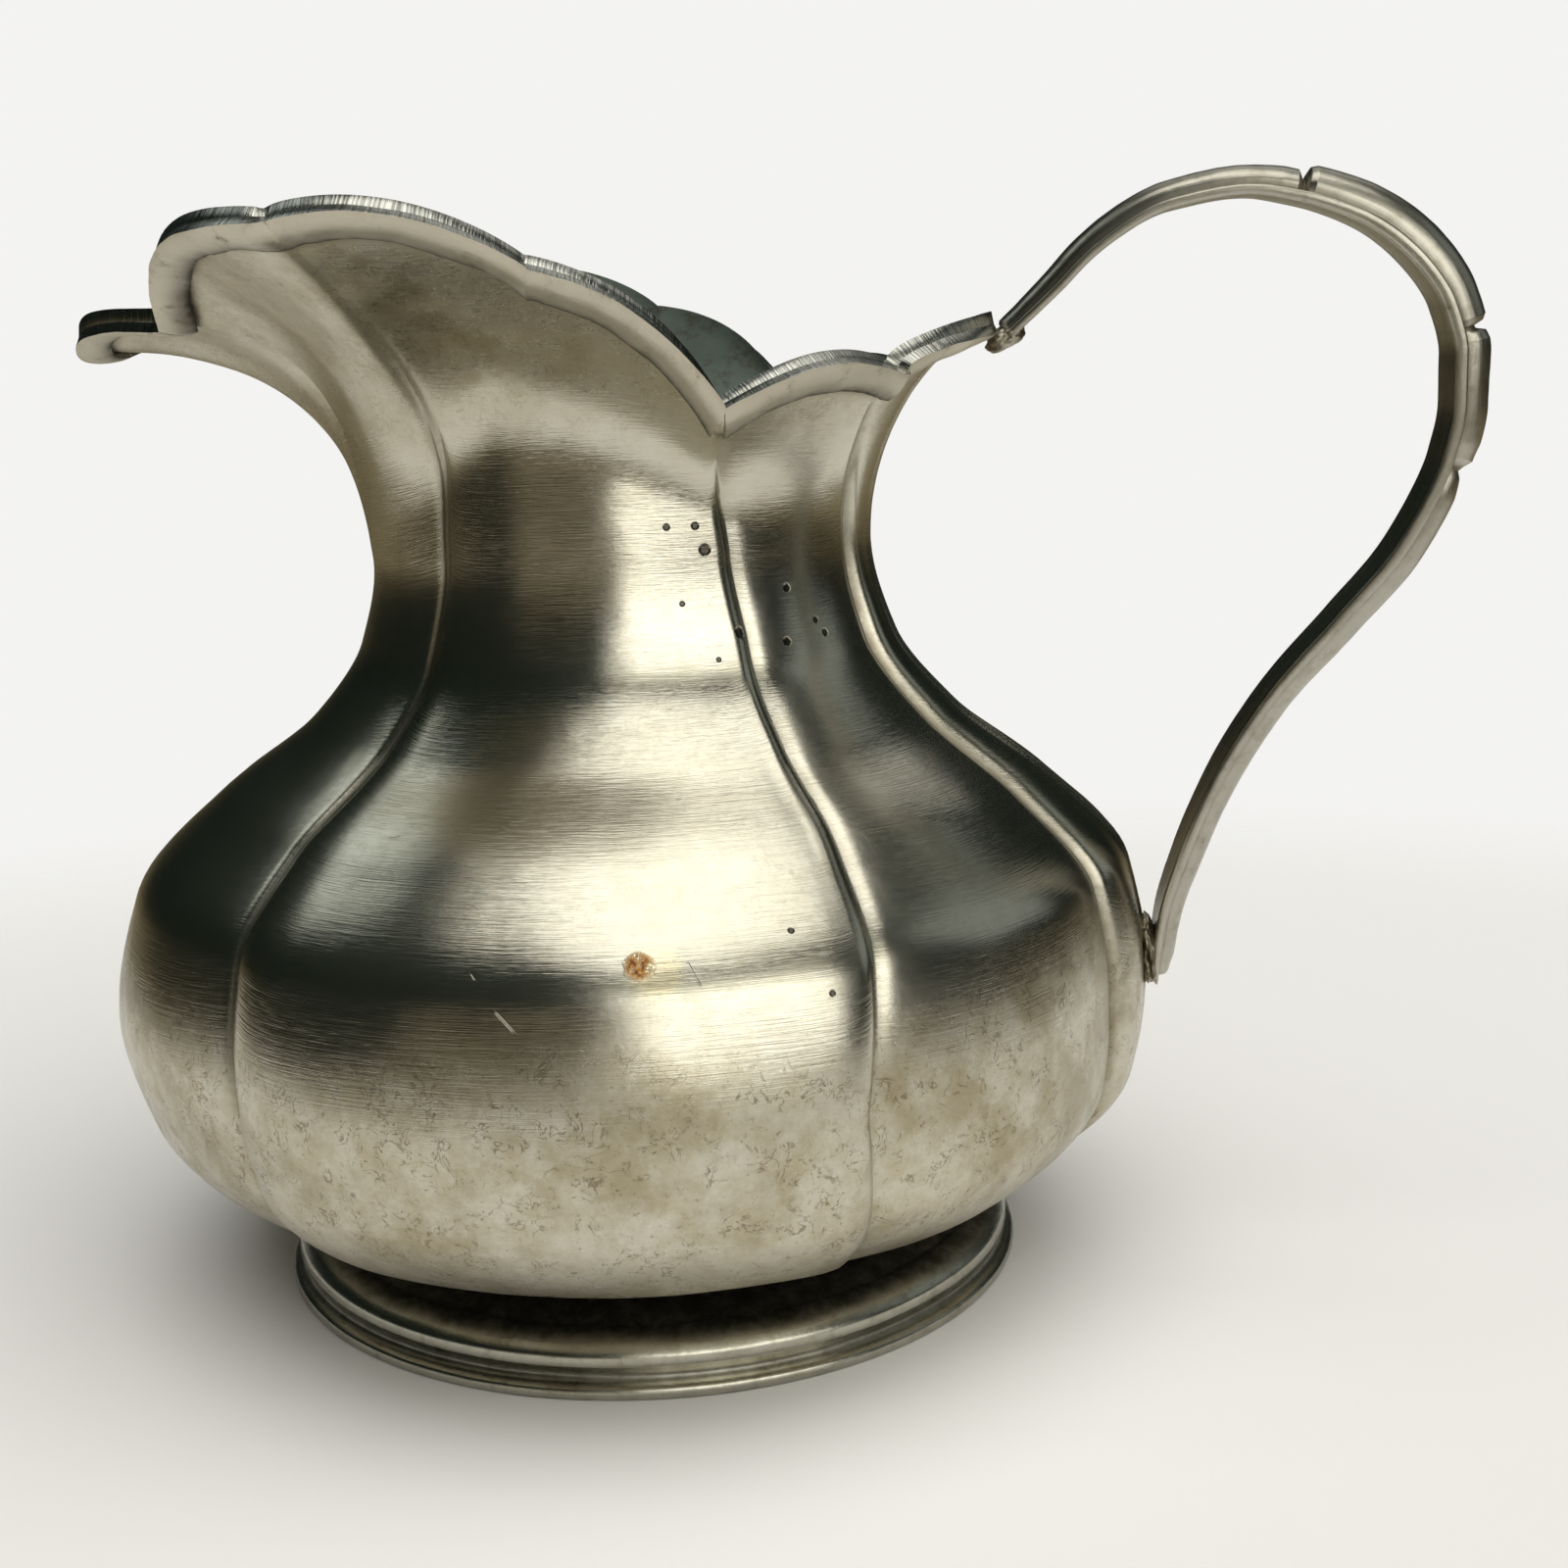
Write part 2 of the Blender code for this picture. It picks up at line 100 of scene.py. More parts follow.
# azimuth and tilt at the rim, pull of the curve's lower and upper end, slope and straight height at the neck
FLARES = [
    (0.0, 11.0, 0.43, 0.34, -0.03, 0.0),
    (27.3, 45.0, 0.45, 0.36, -0.05, 0.0),
    (45.0, 52.0, 0.50, 0.42, -0.07, 1.5),
    (63.5, 60.0, 0.50, 0.36, -0.08, 3.0),
    (79.0, 54.0, 0.50, 0.44, -0.09, 6.0),
    (92.5, 50.0, 0.50, 0.47, -0.09, 8.0),
    (107.0, 44.0, 0.50, 0.50, -0.08, 9.0),
    (118.5, 40.0, 0.47, 0.44, -0.02, 5.0),
    (140.0, 24.0, 0.48, 0.50, 0.08, 1.0),
    (157.0, 4.0, 0.50, 0.55, 0.11, 0.0),
    (180.0, -2.0, 0.57, 0.57, 0.12, 0.0),
]
BAND_DEEP = 2.6     # down the wall
BAND_THICK = 1.0    # out from the wall

# radius, height: the outside from the ground up, the inside from the top down
FOOT_OUTSIDE = [
    (34.7, 0.0), (35.05, 0.12), (35.2, 0.5), (35.1, 0.95), (34.75, 1.2), (34.3, 1.4), (34.05, 1.8),
    (34.2, 2.3), (34.45, 2.9), (34.4, 3.5), (34.0, 4.1), (33.4, 4.6), (32.6, 4.95), (31.9, 5.05),
    (31.5, 5.0), (31.2, 4.95), (30.9, 5.0), (30.2, 5.2), (28.2, 5.55), (26.6, 5.75), (25.6, 6.1),
    (25.3, 6.7), (25.3, 7.2),
]
FOOT_INSIDE = [
    (23.0, 7.1), (23.1, 5.0), (24.5, 4.3), (27.5, 3.8), (31.0, 3.2), (32.4, 2.0), (32.8, 0.4),
    (33.1, 0.0),
]
FOOT_TURNS = 288
DISC_RADIUS, DISC_Z, DISC_THICK = 25.2, 7.15, 1.2
# the turned rings of the bottom disc, from its edge inwards: width, drop
DISC_RINGS = (
    (0.6, 0.0), (0.5, 0.18), (2.2, 0.12), (4.0, 0.10), (5.0, 0.05), (5.5, 0.0), (4.0, -0.1), (2.4, 0.0),
)

# the middle of the strap from the rim down: distance from the axis, height, thickness, width
HANDLE_PATH = [
    (34.4, 86.5, 2.3, 6.0), (38.4, 90.2, 2.4, 6.4), (42.2, 93.9, 2.5, 6.8), (48.6, 97.6, 2.6, 7.0),
    (55.4, 98.7, 2.7, 7.2), (60.0, 98.1, 3.0, 7.4), (65.8, 96.2, 3.4, 7.6), (70.6, 92.7, 3.6, 7.8),
    (73.8, 88.1, 3.6, 7.8), (75.0, 83.4, 3.6, 7.8), (75.0, 79.0, 3.5, 7.8), (74.2, 74.4, 3.5, 7.6),
    (70.3, 66.2, 3.4, 7.4), (65.1, 59.9, 3.2, 7.2), (59.2, 53.0, 3.0, 7.0), (54.8, 45.8, 2.9, 6.8),
    (51.6, 38.2, 2.8, 6.6), (49.8, 32.2, 2.6, 6.0), (49.1, 26.8, 2.4, 5.0),
]
# the rib on the handle's outside: place along the path, height share, half-width share
RIB = [
    (0.0, 0.75, 0.70), (1.0, 0.85, 0.72), (3.0, 0.98, 0.74), (4.7, 1.0, 0.74), (4.95, 0.95, 0.72),
    (5.02, 0.62, 0.66), (5.06, 0.45, 0.62), (5.09, 0.80, 0.66), (5.13, 1.10, 0.74), (5.22, 1.20, 0.78),
    (5.6, 1.16, 0.80), (7.5, 1.10, 0.80), (8.36, 1.06, 0.78), (8.45, 0.92, 0.74), (8.50, 0.55, 0.66),
    (8.56, 0.60, 0.60), (8.62, 0.95, 0.60), (8.75, 1.04, 0.62), (9.6, 1.04, 0.64), (10.7, 1.02, 0.62),
    (10.98, 0.92, 0.58), (11.08, 0.66, 0.44), (11.14, 0.55, 0.30), (11.22, 0.72, 0.36), (11.4, 0.86, 0.46),
    (11.9, 0.90, 0.54), (13.0, 0.92, 0.58), (16.0, 0.90, 0.60), (17.6, 0.82, 0.60), (18.0, 0.60, 0.56),
]
RIB_STEPS = (5.08, 8.53, 11.12)    # places where the rib steps
STEP_SHADE_AND_GRIME = ((5.07, 0.05), (8.51, 0.05), (11.12, 0.06))    # place and spread of the painted shade and dirt in each step
STRIP = 0.32    # the flat inner strip's share of the thickness
# points of the strap's section in the two grooves, and on the rib with its grooves
GROOVE_POINTS = (6, 7, 8, 23, 24, 25)
RIB_POINTS = range(6, 27)
# metres of pattern for a radian round the body, a place along the strap, a point round its section
WRAP_RADIAN, WRAP_PLACE, WRAP_POINT = 0.035, 0.0055, 0.0006


# ---------------- small sums
def blend(table, x, column=1):
    """a column of a table read at x, in straight lines between its rows"""
    if x <= table[0][0]:
        return table[0][column]
    for low, high in zip(table, table[1:]):
        if x <= high[0]:
            share = (x - low[0]) / (high[0] - low[0])
            return low[column] + (high[column] - low[column]) * share
    return table[-1][column]


def slopes(xs, ys):
    steps = [(ys[i + 1] - ys[i]) / (xs[i + 1] - xs[i]) for i in range(len(xs) - 1)]
    out = [steps[0]]
    for a, b in zip(steps, steps[1:]):
        out.append(0.0 if a * b <= 0 else 2.0 * a * b / (a + b))
    out.append(steps[-1])
    return out


class Curve:
    """a smooth reading of a list of points that never overshoots them"""

    def __init__(self, xs, ys):
        self.xs, self.ys, self.rates = list(xs), list(ys), slopes(xs, ys)

    def __call__(self, x):
        xs, ys = self.xs, self.ys
        i = 0
        while i < len(xs) - 2 and x > xs[i + 1]:
            i += 1
        h = xs[i + 1] - xs[i]
        t = (x - xs[i]) / h
        a = (2 * t - 3) * t * t + 1
        b = ((t - 2) * t + 1) * t
        c = (3 - 2 * t) * t * t
        d = (t - 1) * t * t
        return a * ys[i] + b * h * self.rates[i] + c * ys[i + 1] + d * h * self.rates[i + 1]


HEIGHTS = [p[0] for p in PROFILE]
BELLY_Z = Curve(range(len(HEIGHTS)), HEIGHTS)
BELLY_R = Curve(HEIGHTS, [p[1] for p in PROFILE])
BELLY_LEAN = Curve(HEIGHTS, [p[2] for p in PROFILE])


def hump(x, width):
    return math.exp(-(x / width) ** 2)


def place(azimuth, radius, z, side):
    """a point in millimetres, azimuth from the handle"""
    angle = math.radians(azimuth)
    return Vector((AXIS_X / MM + radius * math.cos(angle), side * radius * math.sin(angle), z))


# ---------------- the body wall
def rim(scallop, t, side):
    """azimuth, radius and height of the rim, at a share t of a scallop"""
    marks = NOTCHES
    if side > 0:
        marks = [(azimuth, radius, z - sag) for (azimuth, radius, z), sag in zip(NOTCHES, RIGHT_SAG)]
    if scallop == 0:
        first = marks[0]
        rise = math.cos(math.pi / 2 * t)
        return (
            first[0] * t,
            first[1] + (REAR_APEX[0] - first[1]) * rise,
            first[2] + (REAR_APEX[1] - first[2]) * max(rise, 0.0) ** 0.5,
        )
    if scallop == 5:
        last = marks[4]
        rise = math.sin(math.pi / 2 * t)
        return (
            last[0] + (180.0 - last[0]) * t,
            last[1] + (SPOUT_TIP[0] - last[1]) * rise,
            last[2] + (SPOUT_TIP[1] - last[2]) * rise ** 6,
        )
    low, high = marks[scallop - 1], marks[scallop]
    out, up, skew, square = SWELLS[scallop - 1]
    if side > 0:
        up *= RIGHT_SWELL
    bulge = max(math.sin(math.pi * t ** skew), 0.0) ** square
    even = max(math.sin(math.pi * t), 0.0) ** min(square, 1.0)
    return (
        low[0] + (high[0] - low[0]) * t,
        low[1] + (high[1] - low[1]) * t + out * bulge,
        low[2] + (high[2] - low[2]) * t + up * even,
    )


RIM_CREASES = (0.0, NOTCHES[0][0], NOTCHES[1][0], NOTCHES[3][0], 180.0)
COLUMNS = (38, 38, 34, 34, 40, 34)  # in each scallop
LOW_ROWS, TOP_ROWS = 104, 62        # below and above the neck


def spread(count):
    """places from 0 to 1, closer together near both ends"""
    return [i / count - 0.11 * math.sin(2 * math.pi * i / count) for i in range(count + 1)]


def columns():
    out = []
    for scallop, count in enumerate(COLUMNS):
        out += [(scallop, t) for t in spread(count)[:-1]]
    out.append((5, 1.0))
    return out


def lobe_of(rim_azimuth):
    for lobe in range(4):
        low, high = RIM_CREASES[lobe], RIM_CREASES[lobe + 1]
        if rim_azimuth <= high + 1e-6:
            return lobe, (rim_azimuth - low) / (high - low)
    return 3, 1.0


def crease_azimuths(z):
    return (0.0, blend(CREASE_REAR, z), blend(CREASE_SIDE, z), blend(CREASE_FRONT, z), 180.0)


def fullness(lobe, across):
    """how far a lobe has turned down into its creases; the side lobes stand proud of the ones beside them"""
    if lobe == 0:
        return across ** 5.0
    if lobe == 1:
        edge = abs(2.0 * across - 1.0)
        return 0.80 + 0.20 * edge ** 3.0
    if lobe == 2:
        return abs(2.0 * across - 1.0) ** (24.0 if across < 0.5 else 9.0)
    return (1.0 - across) ** 2.6


def neck_slope(lobe, across):
    low, high = RIM_CREASES[lobe], RIM_CREASES[lobe + 1]
    return blend(FLARES, low + (high - low) * across, 4)


def low_wall(lobe, across, z):
    """azimuth and radius of the wall up to the neck, and the azimuths of the creases there"""
    marks = crease_azimuths(z)
    azimuth = marks[lobe] + (marks[lobe + 1] - marks[lobe]) * across
    radius = BELLY_R(z) - BELLY_LEAN(z) * math.cos(math.radians(azimuth))
    radius -= fullness(lobe, across) * blend(CREASE_DEPTH, z)
    if z > PROFILE[-2][0]:
        # ease into the slope at the neck
        span = NECK_Z - PROFILE[-2][0]
        t = (z - PROFILE[-2][0]) / span
        radius += (neck_slope(lobe, across) - BELLY_R.rates[-1]) * span * (t - 1) * t * t
    return azimuth, radius, marks


def mouth_wall(column, side, t):
    """the wall above the neck, t from 0 at the neck to 1 at the rim: azimuth, radius, height, creases"""
    rim_azimuth, rim_radius, rim_z = rim(*column, side)
    lobe, across = lobe_of(rim_azimuth)
    neck_azimuth, neck_radius, marks = low_wall(lobe, across, NECK_Z)
    tilt, reach_low, reach_high, slope, stay = (blend(FLARES, rim_azimuth, k) for k in range(1, 6))
    tilt = math.radians(tilt)
    start = (neck_radius + slope * stay, NECK_Z + stay)
    rise = rim_z - start[1]
    span = math.hypot(rim_radius - start[0], rise)
    points = (
        start,
        (start[0] + slope * reach_low * rise, start[1] + reach_low * rise),
        (rim_radius - reach_high * span * math.cos(tilt), rim_z - reach_high * span * math.sin(tilt)),
        (rim_radius, rim_z),
    )
    straight = stay / (stay + 1.1 * span)
    if t < straight:
        radius = neck_radius + slope * stay * t / straight
        height = NECK_Z + stay * t / straight
    else:
        u = (t - straight) / (1 - straight)
        weights = ((1 - u) ** 3, 3 * u * (1 - u) ** 2, 3 * u * u * (1 - u), u ** 3)
        radius = sum(w * p[0] for w, p in zip(weights, points))
        height = sum(w * p[1] for w, p in zip(weights, points))
    turn = t * t * (3 - 2 * t)
    marks = [m + (r - m) * turn for m, r in zip(marks, RIM_CREASES)]
    return neck_azimuth + (rim_azimuth - neck_azimuth) * turn, radius, height, marks


def crease_work(lobe, azimuth, radius, z, marks):
    """how far the metal is worked out along the creases and seams, and how much painted shade and dirt lies
    there
    """
    lift = 0.0
    grime_and_shade = 0.0
    cuts = (None, CUT_REAR, CUT_SIDE, CUT_FRONT, None)
    for k, cut in enumerate(cuts):
        if k not in (lobe, lobe + 1):
            continue
        far = math.radians(azimuth - marks[k]) * radius
        if cut is None:
            lift += (0.28 if k == 0 else 0.10) * hump(far - (0.9 if k == 0 else 0.0), 0.55)
            # painted shade and dirt along the seam
            grime_and_shade += 0.25 * hump(far, 1.0)
            continue
        depth = blend(cut, z)
        lift -= depth * hump(far, 0.5 if far > 0 else 0.8)
        # painted shade and dirt in the bottom of the crease
        grime_and_shade += min(depth * 1.6, 0.95) * hump(far + 0.1, 0.55)
        if k == 2:
            # the side lobe ends in a rolled edge; the next one starts flat beneath it
            lift += 1.1 * depth * hump(far - 1.5, 0.8)
        if k == 3:
            bead = blend(BEAD_FRONT, z)
            lift += bead * hump(far + 0.1, 0.36)
            grime_and_shade -= 0.8 * bead * hump(far + 0.1, 0.3)
    return lift, max(grime_and_shade, 0.0)


DENTS = [
    # where, how long around, how tall, how deep
    ((-24.5, -31.5, 88.6), 3.6, 1.0, 0.34),
    ((-19.5, -29.5, 87.6), 3.0, 0.9, -0.16),
    ((-30.0, -31.0, 91.5), 5.0, 1.6, 0.12),
    ((-2.0, -22.0, 61.0), 2.2, 7.0, 0.10),
    ((-12.0, -47.0, 36.0), 6.0, 3.0, 0.12),
    ((18.0, -36.0, 40.0), 5.0, 4.0, 0.16),
]


def unevenness(point):
    """the slight waviness of hand-finished metal, in millimetres"""
    out = 0.20 * noise.noise(point * 0.06) + 0.07 * noise.noise(point * 0.15 + Vector((7, 3, 1)))
    out += 0.016 * noise.noise(point * 0.6 + Vector((1, 9, 4)))
    for centre, wide, tall, deep in DENTS:
        away = point - Vector(centre)
        flat = math.hypot(away.x, away.y)
        if flat < 3 * wide and abs(away.z) < 3 * tall:
            out -= deep * hump(flat, wide) * hump(away.z, tall)
    return out


def wall_column(column, side):
    """points up the outside of the wall from the bottom to the rim, each with its place and its painted
    shade and dirt
    """
    rim_azimuth = rim(*column, side)[0]
    lobe, across = lobe_of(rim_azimuth)
    raw = []
    for row in range(LOW_ROWS + 1):
        z = BELLY_Z(row * (len(HEIGHTS) - 1) / LOW_ROWS)
        azimuth, radius, marks = low_wall(lobe, across, z)
        raw.append((azimuth, radius, z, marks))
    for row in range(1, TOP_ROWS + 1):
        t = row / TOP_ROWS
        raw.append(mouth_wall(column, side, 1 - (1 - t) ** 1.25))
    tops = [place(*reading[:3], side) for reading in raw]
    left = [0.0]
    for a, b in zip(tops[::-1], tops[-2::-1]):
        left.append(left[-1] + (a - b).length)
    left = left[::-1]
    out = []
    for (azimuth, radius, z, marks), below_rim in zip(raw, left):
        lift, grime_and_shade = crease_work(lobe, azimuth, radius, z, marks)
        # the creases fade out under the band; painted shade lies just below the band and on the lowest belly
        # down by the foot
        fade = min(max(below_rim - BAND_DEEP, 0.0) / 2.0, 1.0)
        edge = hump(below_rim - BAND_DEEP - 0.25, 0.7)
        under = 0.9 * min(max((11.5 - z) / 3.5, 0.0), 1.0)
        spot = place(azimuth, radius, z, side)
        out.append((spot, lift * fade, max(grime_and_shade * fade, edge, under), azimuth, left[0] - below_rim))
    return out


def new_mesh(name, points, faces):
    mesh = bpy.data.meshes.new(name)
    mesh.from_pydata([point * MM for point in points], [], faces)
    mesh.update()
    return mesh


def new_object(name, data):
    obj = bpy.data.objects.new(name, data)
    bpy.context.scene.collection.objects.link(obj)
    return obj


def tube(name, rings):
    """the mesh of a closed tube through rings of points"""
    around = len(rings[0])
    last = (len(rings) - 1) * around
    faces = [tuple(range(around))]
    for low in range(0, last, around):
        for k in range(around):
            n = (k + 1) % around
            faces.append((low + k, low + around + k, low + around + n, low + n))
    faces.append(tuple(range(last + around - 1, last - 1, -1)))
    return new_mesh(name, [point for ring in rings for point in ring], faces)


def sheet(name, grid, flip):
    """a sheet of faces through a grid of (point, lift, grime, azimuth, length)"""
    rows = len(grid[0])
    flat = [spot for column in grid for spot in column]
    faces = []
    for i in range(len(grid) - 1):
        for j in range(rows - 1):
            a = i * rows + j
            face = (a, a + rows, a + rows + 1, a + 1)
            faces.append(face[::-1] if flip else face)
    mesh = new_mesh(name, [spot[0] for spot in flat], faces)
    normals = [v.normal.copy() for v in mesh.vertices]
    for vertex, spot, normal in zip(mesh.vertices, flat, normals):
        vertex.co += normal * (spot[1] + unevenness(spot[0])) * MM
    wrap = mesh.uv_layers.new(name="wrap")
    for loop in mesh.loops:
        spot = flat[loop.vertex_index]
        wrap.data[loop.index].uv = (math.radians(spot[3]) * WRAP_RADIAN, spot[4] * MM)
    # the attribute carries painted shade and dirt for the finishes
    grime_and_shade = mesh.attributes.new("grime_and_shade", "FLOAT", "POINT")
    grime_and_shade.data.foreach_set("value", [spot[2] for spot in flat])
    return new_object(name, mesh)


def alone(obj):
    bpy.ops.object.select_all(action="DESELECT")
    obj.select_set(True)
    bpy.context.view_layer.objects.active = obj


def finish_piece(obj, *names):
    """apply modifiers and place, shade smooth, hang the piece under the root, and hide the imported nodes it
    takes the place of
    """
    alone(obj)
    for modifier in list(obj.modifiers):
        bpy.ops.object.modifier_apply(modifier=modifier.name)
    bpy.ops.object.transform_apply(location=True, rotation=True, scale=True)
    bpy.ops.object.shade_smooth()
    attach(obj, "root")
    for name in names:
        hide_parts(name)


def coat(obj, *finishes):
    for finish in finishes:
        obj.data.materials.append(FINISH[finish])


def recalculate(obj):
    """turn every face outwards"""
    alone(obj)
    bpy.ops.object.mode_set(mode="EDIT")
    bpy.ops.mesh.select_all(action="SELECT")
    bpy.ops.mesh.normals_make_consistent(inside=False)
    bpy.ops.object.mode_set(mode="OBJECT")


def round_edges(obj, width, segments, sharp):
    edge = obj.modifiers.new("edge", "BEVEL")
    edge.width = width * MM
    edge.segments = segments
    edge.limit_method = "ANGLE"
    edge.angle_limit = math.radians(sharp)


def thicken(obj, thickness, offset, round_edge, segments=2):
    """give a sheet its thickness and round its sharp edges"""
    solid = obj.modifiers.new("wall", "SOLIDIFY")
    solid.thickness = thickness * MM
    solid.offset = offset
    solid.use_even_offset = True
    solid.material_offset = 1
    solid.material_offset_rim = 2
    round_edges(obj, round_edge, segments, 55)


def body_half(name, side, node):
    grid = [wall_column(column, side) for column in columns()]
    obj = sheet(name, grid, side < 0)
    coat(obj, "pewter_outside", "pewter_inside_painted_shade", "filed_edge")
    thicken(obj, WALL, -1.0, 0.16)
    finish_piece(obj, node)


# ---------------- the rim bands
def band_column(column, side, rows=7):
    """points down the face of a band from the rim, each with painted shade that deepens towards its lower
    edge
    """
    marks = []
    length = 0.0
    last = None
    # the way down the wall, past the deepest band
    for i in range(121):
        azimuth, radius, z, _ = mouth_wall(column, side, 1.0 - i * 0.005)
        here = place(azimuth, radius, z, side)
        if last is not None:
            length += (here - last).length
        marks.append((length, azimuth, radius, z))
        last = here
        if length > BAND_DEEP * 1.4:
            break
    out = []
    start = place(*marks[0][1:], side)
    deep = BAND_DEEP * (1.0 + 0.13 * noise.noise(start * 0.22) + 0.05 * noise.noise(start * 0.9))
    for row in range(rows):
        want = deep * row / (rows - 1)
        azimuth, radius, z = (blend(marks, want, k) for k in (1, 2, 3))
        ahead = min(want + 0.3, marks[-1][0])
        behind = max(want - 0.3, 0.0)
        run = blend(marks, ahead, 2) - blend(marks, behind, 2)
        fall = blend(marks, ahead, 3) - blend(marks, behind, 3)
        scale = math.hypot(run, fall)
        share = row / (rows - 1)
        stand = -0.12 + 0.22 * math.sin(math.pi * share) - 0.25 * share ** 3
        stand += 0.10 * noise.noise(place(azimuth, radius, z, side) * 0.35)
        radius -= stand * fall / scale
        z += stand * run / scale
        # painted shade deepening towards the band's lower edge
        out.append((place(azimuth, radius, z, side), 0.0, 0.8 * share ** 4, azimuth, 0.05 - want))
    return out


def band(name, stretches, node):
    """a band over one or two stretches, each a side and its scallops"""
    grid = []
    for side, scallops in stretches:
        run = []
        for scallop in scallops:
            run += [(scallop, t) for t in spread(64)]
        run = [c for i, c in enumerate(run) if i == 0 or c[1] > 0.0]
        if side > 0:
            run = run[::-1]
        part = [band_column(c, side) for c in run]
        if grid and (part[0][0][0] - grid[-1][0][0]).length < 0.01:
            part = part[1:]
        grid += part
    obj = sheet(name, grid, False)
    coat(obj, "band_face", "band_face", "filed_edge")
    thicken(obj, BAND_THICK, 1.0, 0.26, 3)
    finish_piece(obj, node)


def solder_run(name, side):
    """an uneven thread of solder left along the lower edge of a side's bands"""
    spots = []
    for scallop in range(len(COLUMNS)):
        spots += [band_column((scallop, t), side, 3)[-1][0] for t in spread(90)[:-1]]
    around = 7
    rings = []
    for i, spot in enumerate(spots):
        ahead = spots[min(i + 1, len(spots) - 1)]
        behind = spots[max(i - 1, 0)]
        along = (ahead - behind).normalized()
        out = Vector((spot.x - AXIS_X / MM, spot.y, -18.0)).normalized()
        across = along.cross(out).normalized()
        out = across.cross(along).normalized()
        rough = noise.noise(spot * 0.30 + Vector((3, 5, 8)))
        size = 0.17 + 0.42 * max(rough, 0.0) ** 1.2 + 0.10 * noise.noise(spot * 1.3)
        size = max(size, 0.06)
        if i in (0, len(spots) - 1):
            size = 0.03
        centre = spot - out * 0.10
        ring = []
        for k in range(around):
            angle = 2 * math.pi * k / around
            bump = 1.0 + 0.25 * noise.noise(spot * 2.2 + Vector((k, 0, 0)))
            ring.append(centre + (out * math.cos(angle) * 0.75 + across * math.sin(angle)) * size * bump)
        rings.append(ring)
    obj = new_object(name, tube(name, rings))
    coat(obj, "solder")
    recalculate(obj)
    finish_piece(obj)


def ball(name):
    bpy.ops.object.select_all(action="DESELECT")
    bpy.ops.mesh.primitive_ico_sphere_add(subdivisions=5, radius=0.5)
    obj = bpy.context.object
    obj.name = name
    return obj


def notch_fill(name, side):
    """the solder that rounds out the notch where two bands meet"""
    column = band_column((2, 0.0), side, 3)
    top, end = column[0][0], column[-1][0]
    way = (end - top).normalized()
    out = Vector((top.x - AXIS_X / MM, top.y, 0.0)).normalized()
    obj = ball(name)
    for vertex in obj.data.vertices:
        vertex.co *= 1.0 + 0.08 * noise.noise(vertex.co * 3.0 + Vector((side, 2.0, 5.0)))
    obj.scale = Vector((1.9, 1.8, 3.0)) * MM
    obj.rotation_euler = (-way).to_track_quat("Z", "X").to_euler()
    obj.location = ((top + end) / 2 + out * 0.25 + Vector((0.0, 0.0, -0.1))) * MM
    coat(obj, "band_face")
    finish_piece(obj)
    recalculate(obj)


# ---------------- foot and bottom
def foot():
    """the moulded ring, turned from its section, then left a little uneven"""
    profile = FOOT_OUTSIDE[::-1] + FOOT_INSIDE[::-1]
    n = len(profile)
    rs = Curve(range(n), [p[0] for p in profile])
    zs = Curve(range(n), [p[1] for p in profile])
    fine = [(rs(i / 4), zs(i / 4)) for i in range((n - 1) * 4 + 1)]
    mesh = bpy.data.meshes.new("foot_moulding")
    edges = [(i, (i + 1) % len(fine)) for i in range(len(fine))]
    mesh.from_pydata([(r * MM, 0.0, z * MM) for r, z in fine], edges, [])
    obj = new_object("foot_moulding", mesh)
    turn = obj.modifiers.new("turn", "SCREW")
    turn.steps = turn.render_steps = FOOT_TURNS
    turn.use_merge_vertices = True
    turn.merge_threshold = 0.00001
    alone(obj)
    bpy.ops.object.modifier_apply(modifier="turn")
    for vertex in obj.data.vertices:
        point = vertex.co / MM
        if point.z > 0.2:
            reach = Vector((point.x, point.y, 0)).normalized()
            wave = 0.10 * noise.noise(point * 0.07) + 0.025 * noise.noise(point * 0.4)
            vertex.co += reach * wave * MM
            vertex.co.z += 0.05 * noise.noise(point * 0.1 + Vector((2, 2, 2))) * MM * min(point.z / 3, 1)
    recalculate(obj)
    obj.location.x = AXIS_X
    coat(obj, "foot_cast")
    finish_piece(obj, "foot_ring")


def bottom():
    """the round plate that closes the body, slightly dished, with the turned rings of its making"""
    bpy.ops.object.select_all(action="DESELECT")
    bpy.ops.mesh.primitive_circle_add(
        vertices=128, radius=DISC_RADIUS * MM, fill_type="NGON", location=(0, 0, DISC_Z * MM))
    obj = bpy.context.object
    obj.name = "bottom_plate"
    bpy.ops.object.mode_set(mode="EDIT")
    bpy.ops.mesh.select_all(action="SELECT")
    for step, drop in DISC_RINGS:
        bpy.ops.mesh.inset(thickness=step * MM, depth=drop * MM)
    bpy.ops.object.mode_set(mode="OBJECT")
    solid = obj.modifiers.new("plate", "SOLIDIFY")
    solid.thickness = DISC_THICK * MM
    solid.offset = 1.0
    round_edges(obj, 0.12, 2, 40)
    obj.location.x = AXIS_X
    coat(obj, "pewter_inside_painted_shade")
    finish_piece(obj, "base_disc")
    alone(obj)
    bpy.ops.object.shade_smooth_by_angle(angle=math.radians(35))
    recalculate(obj)


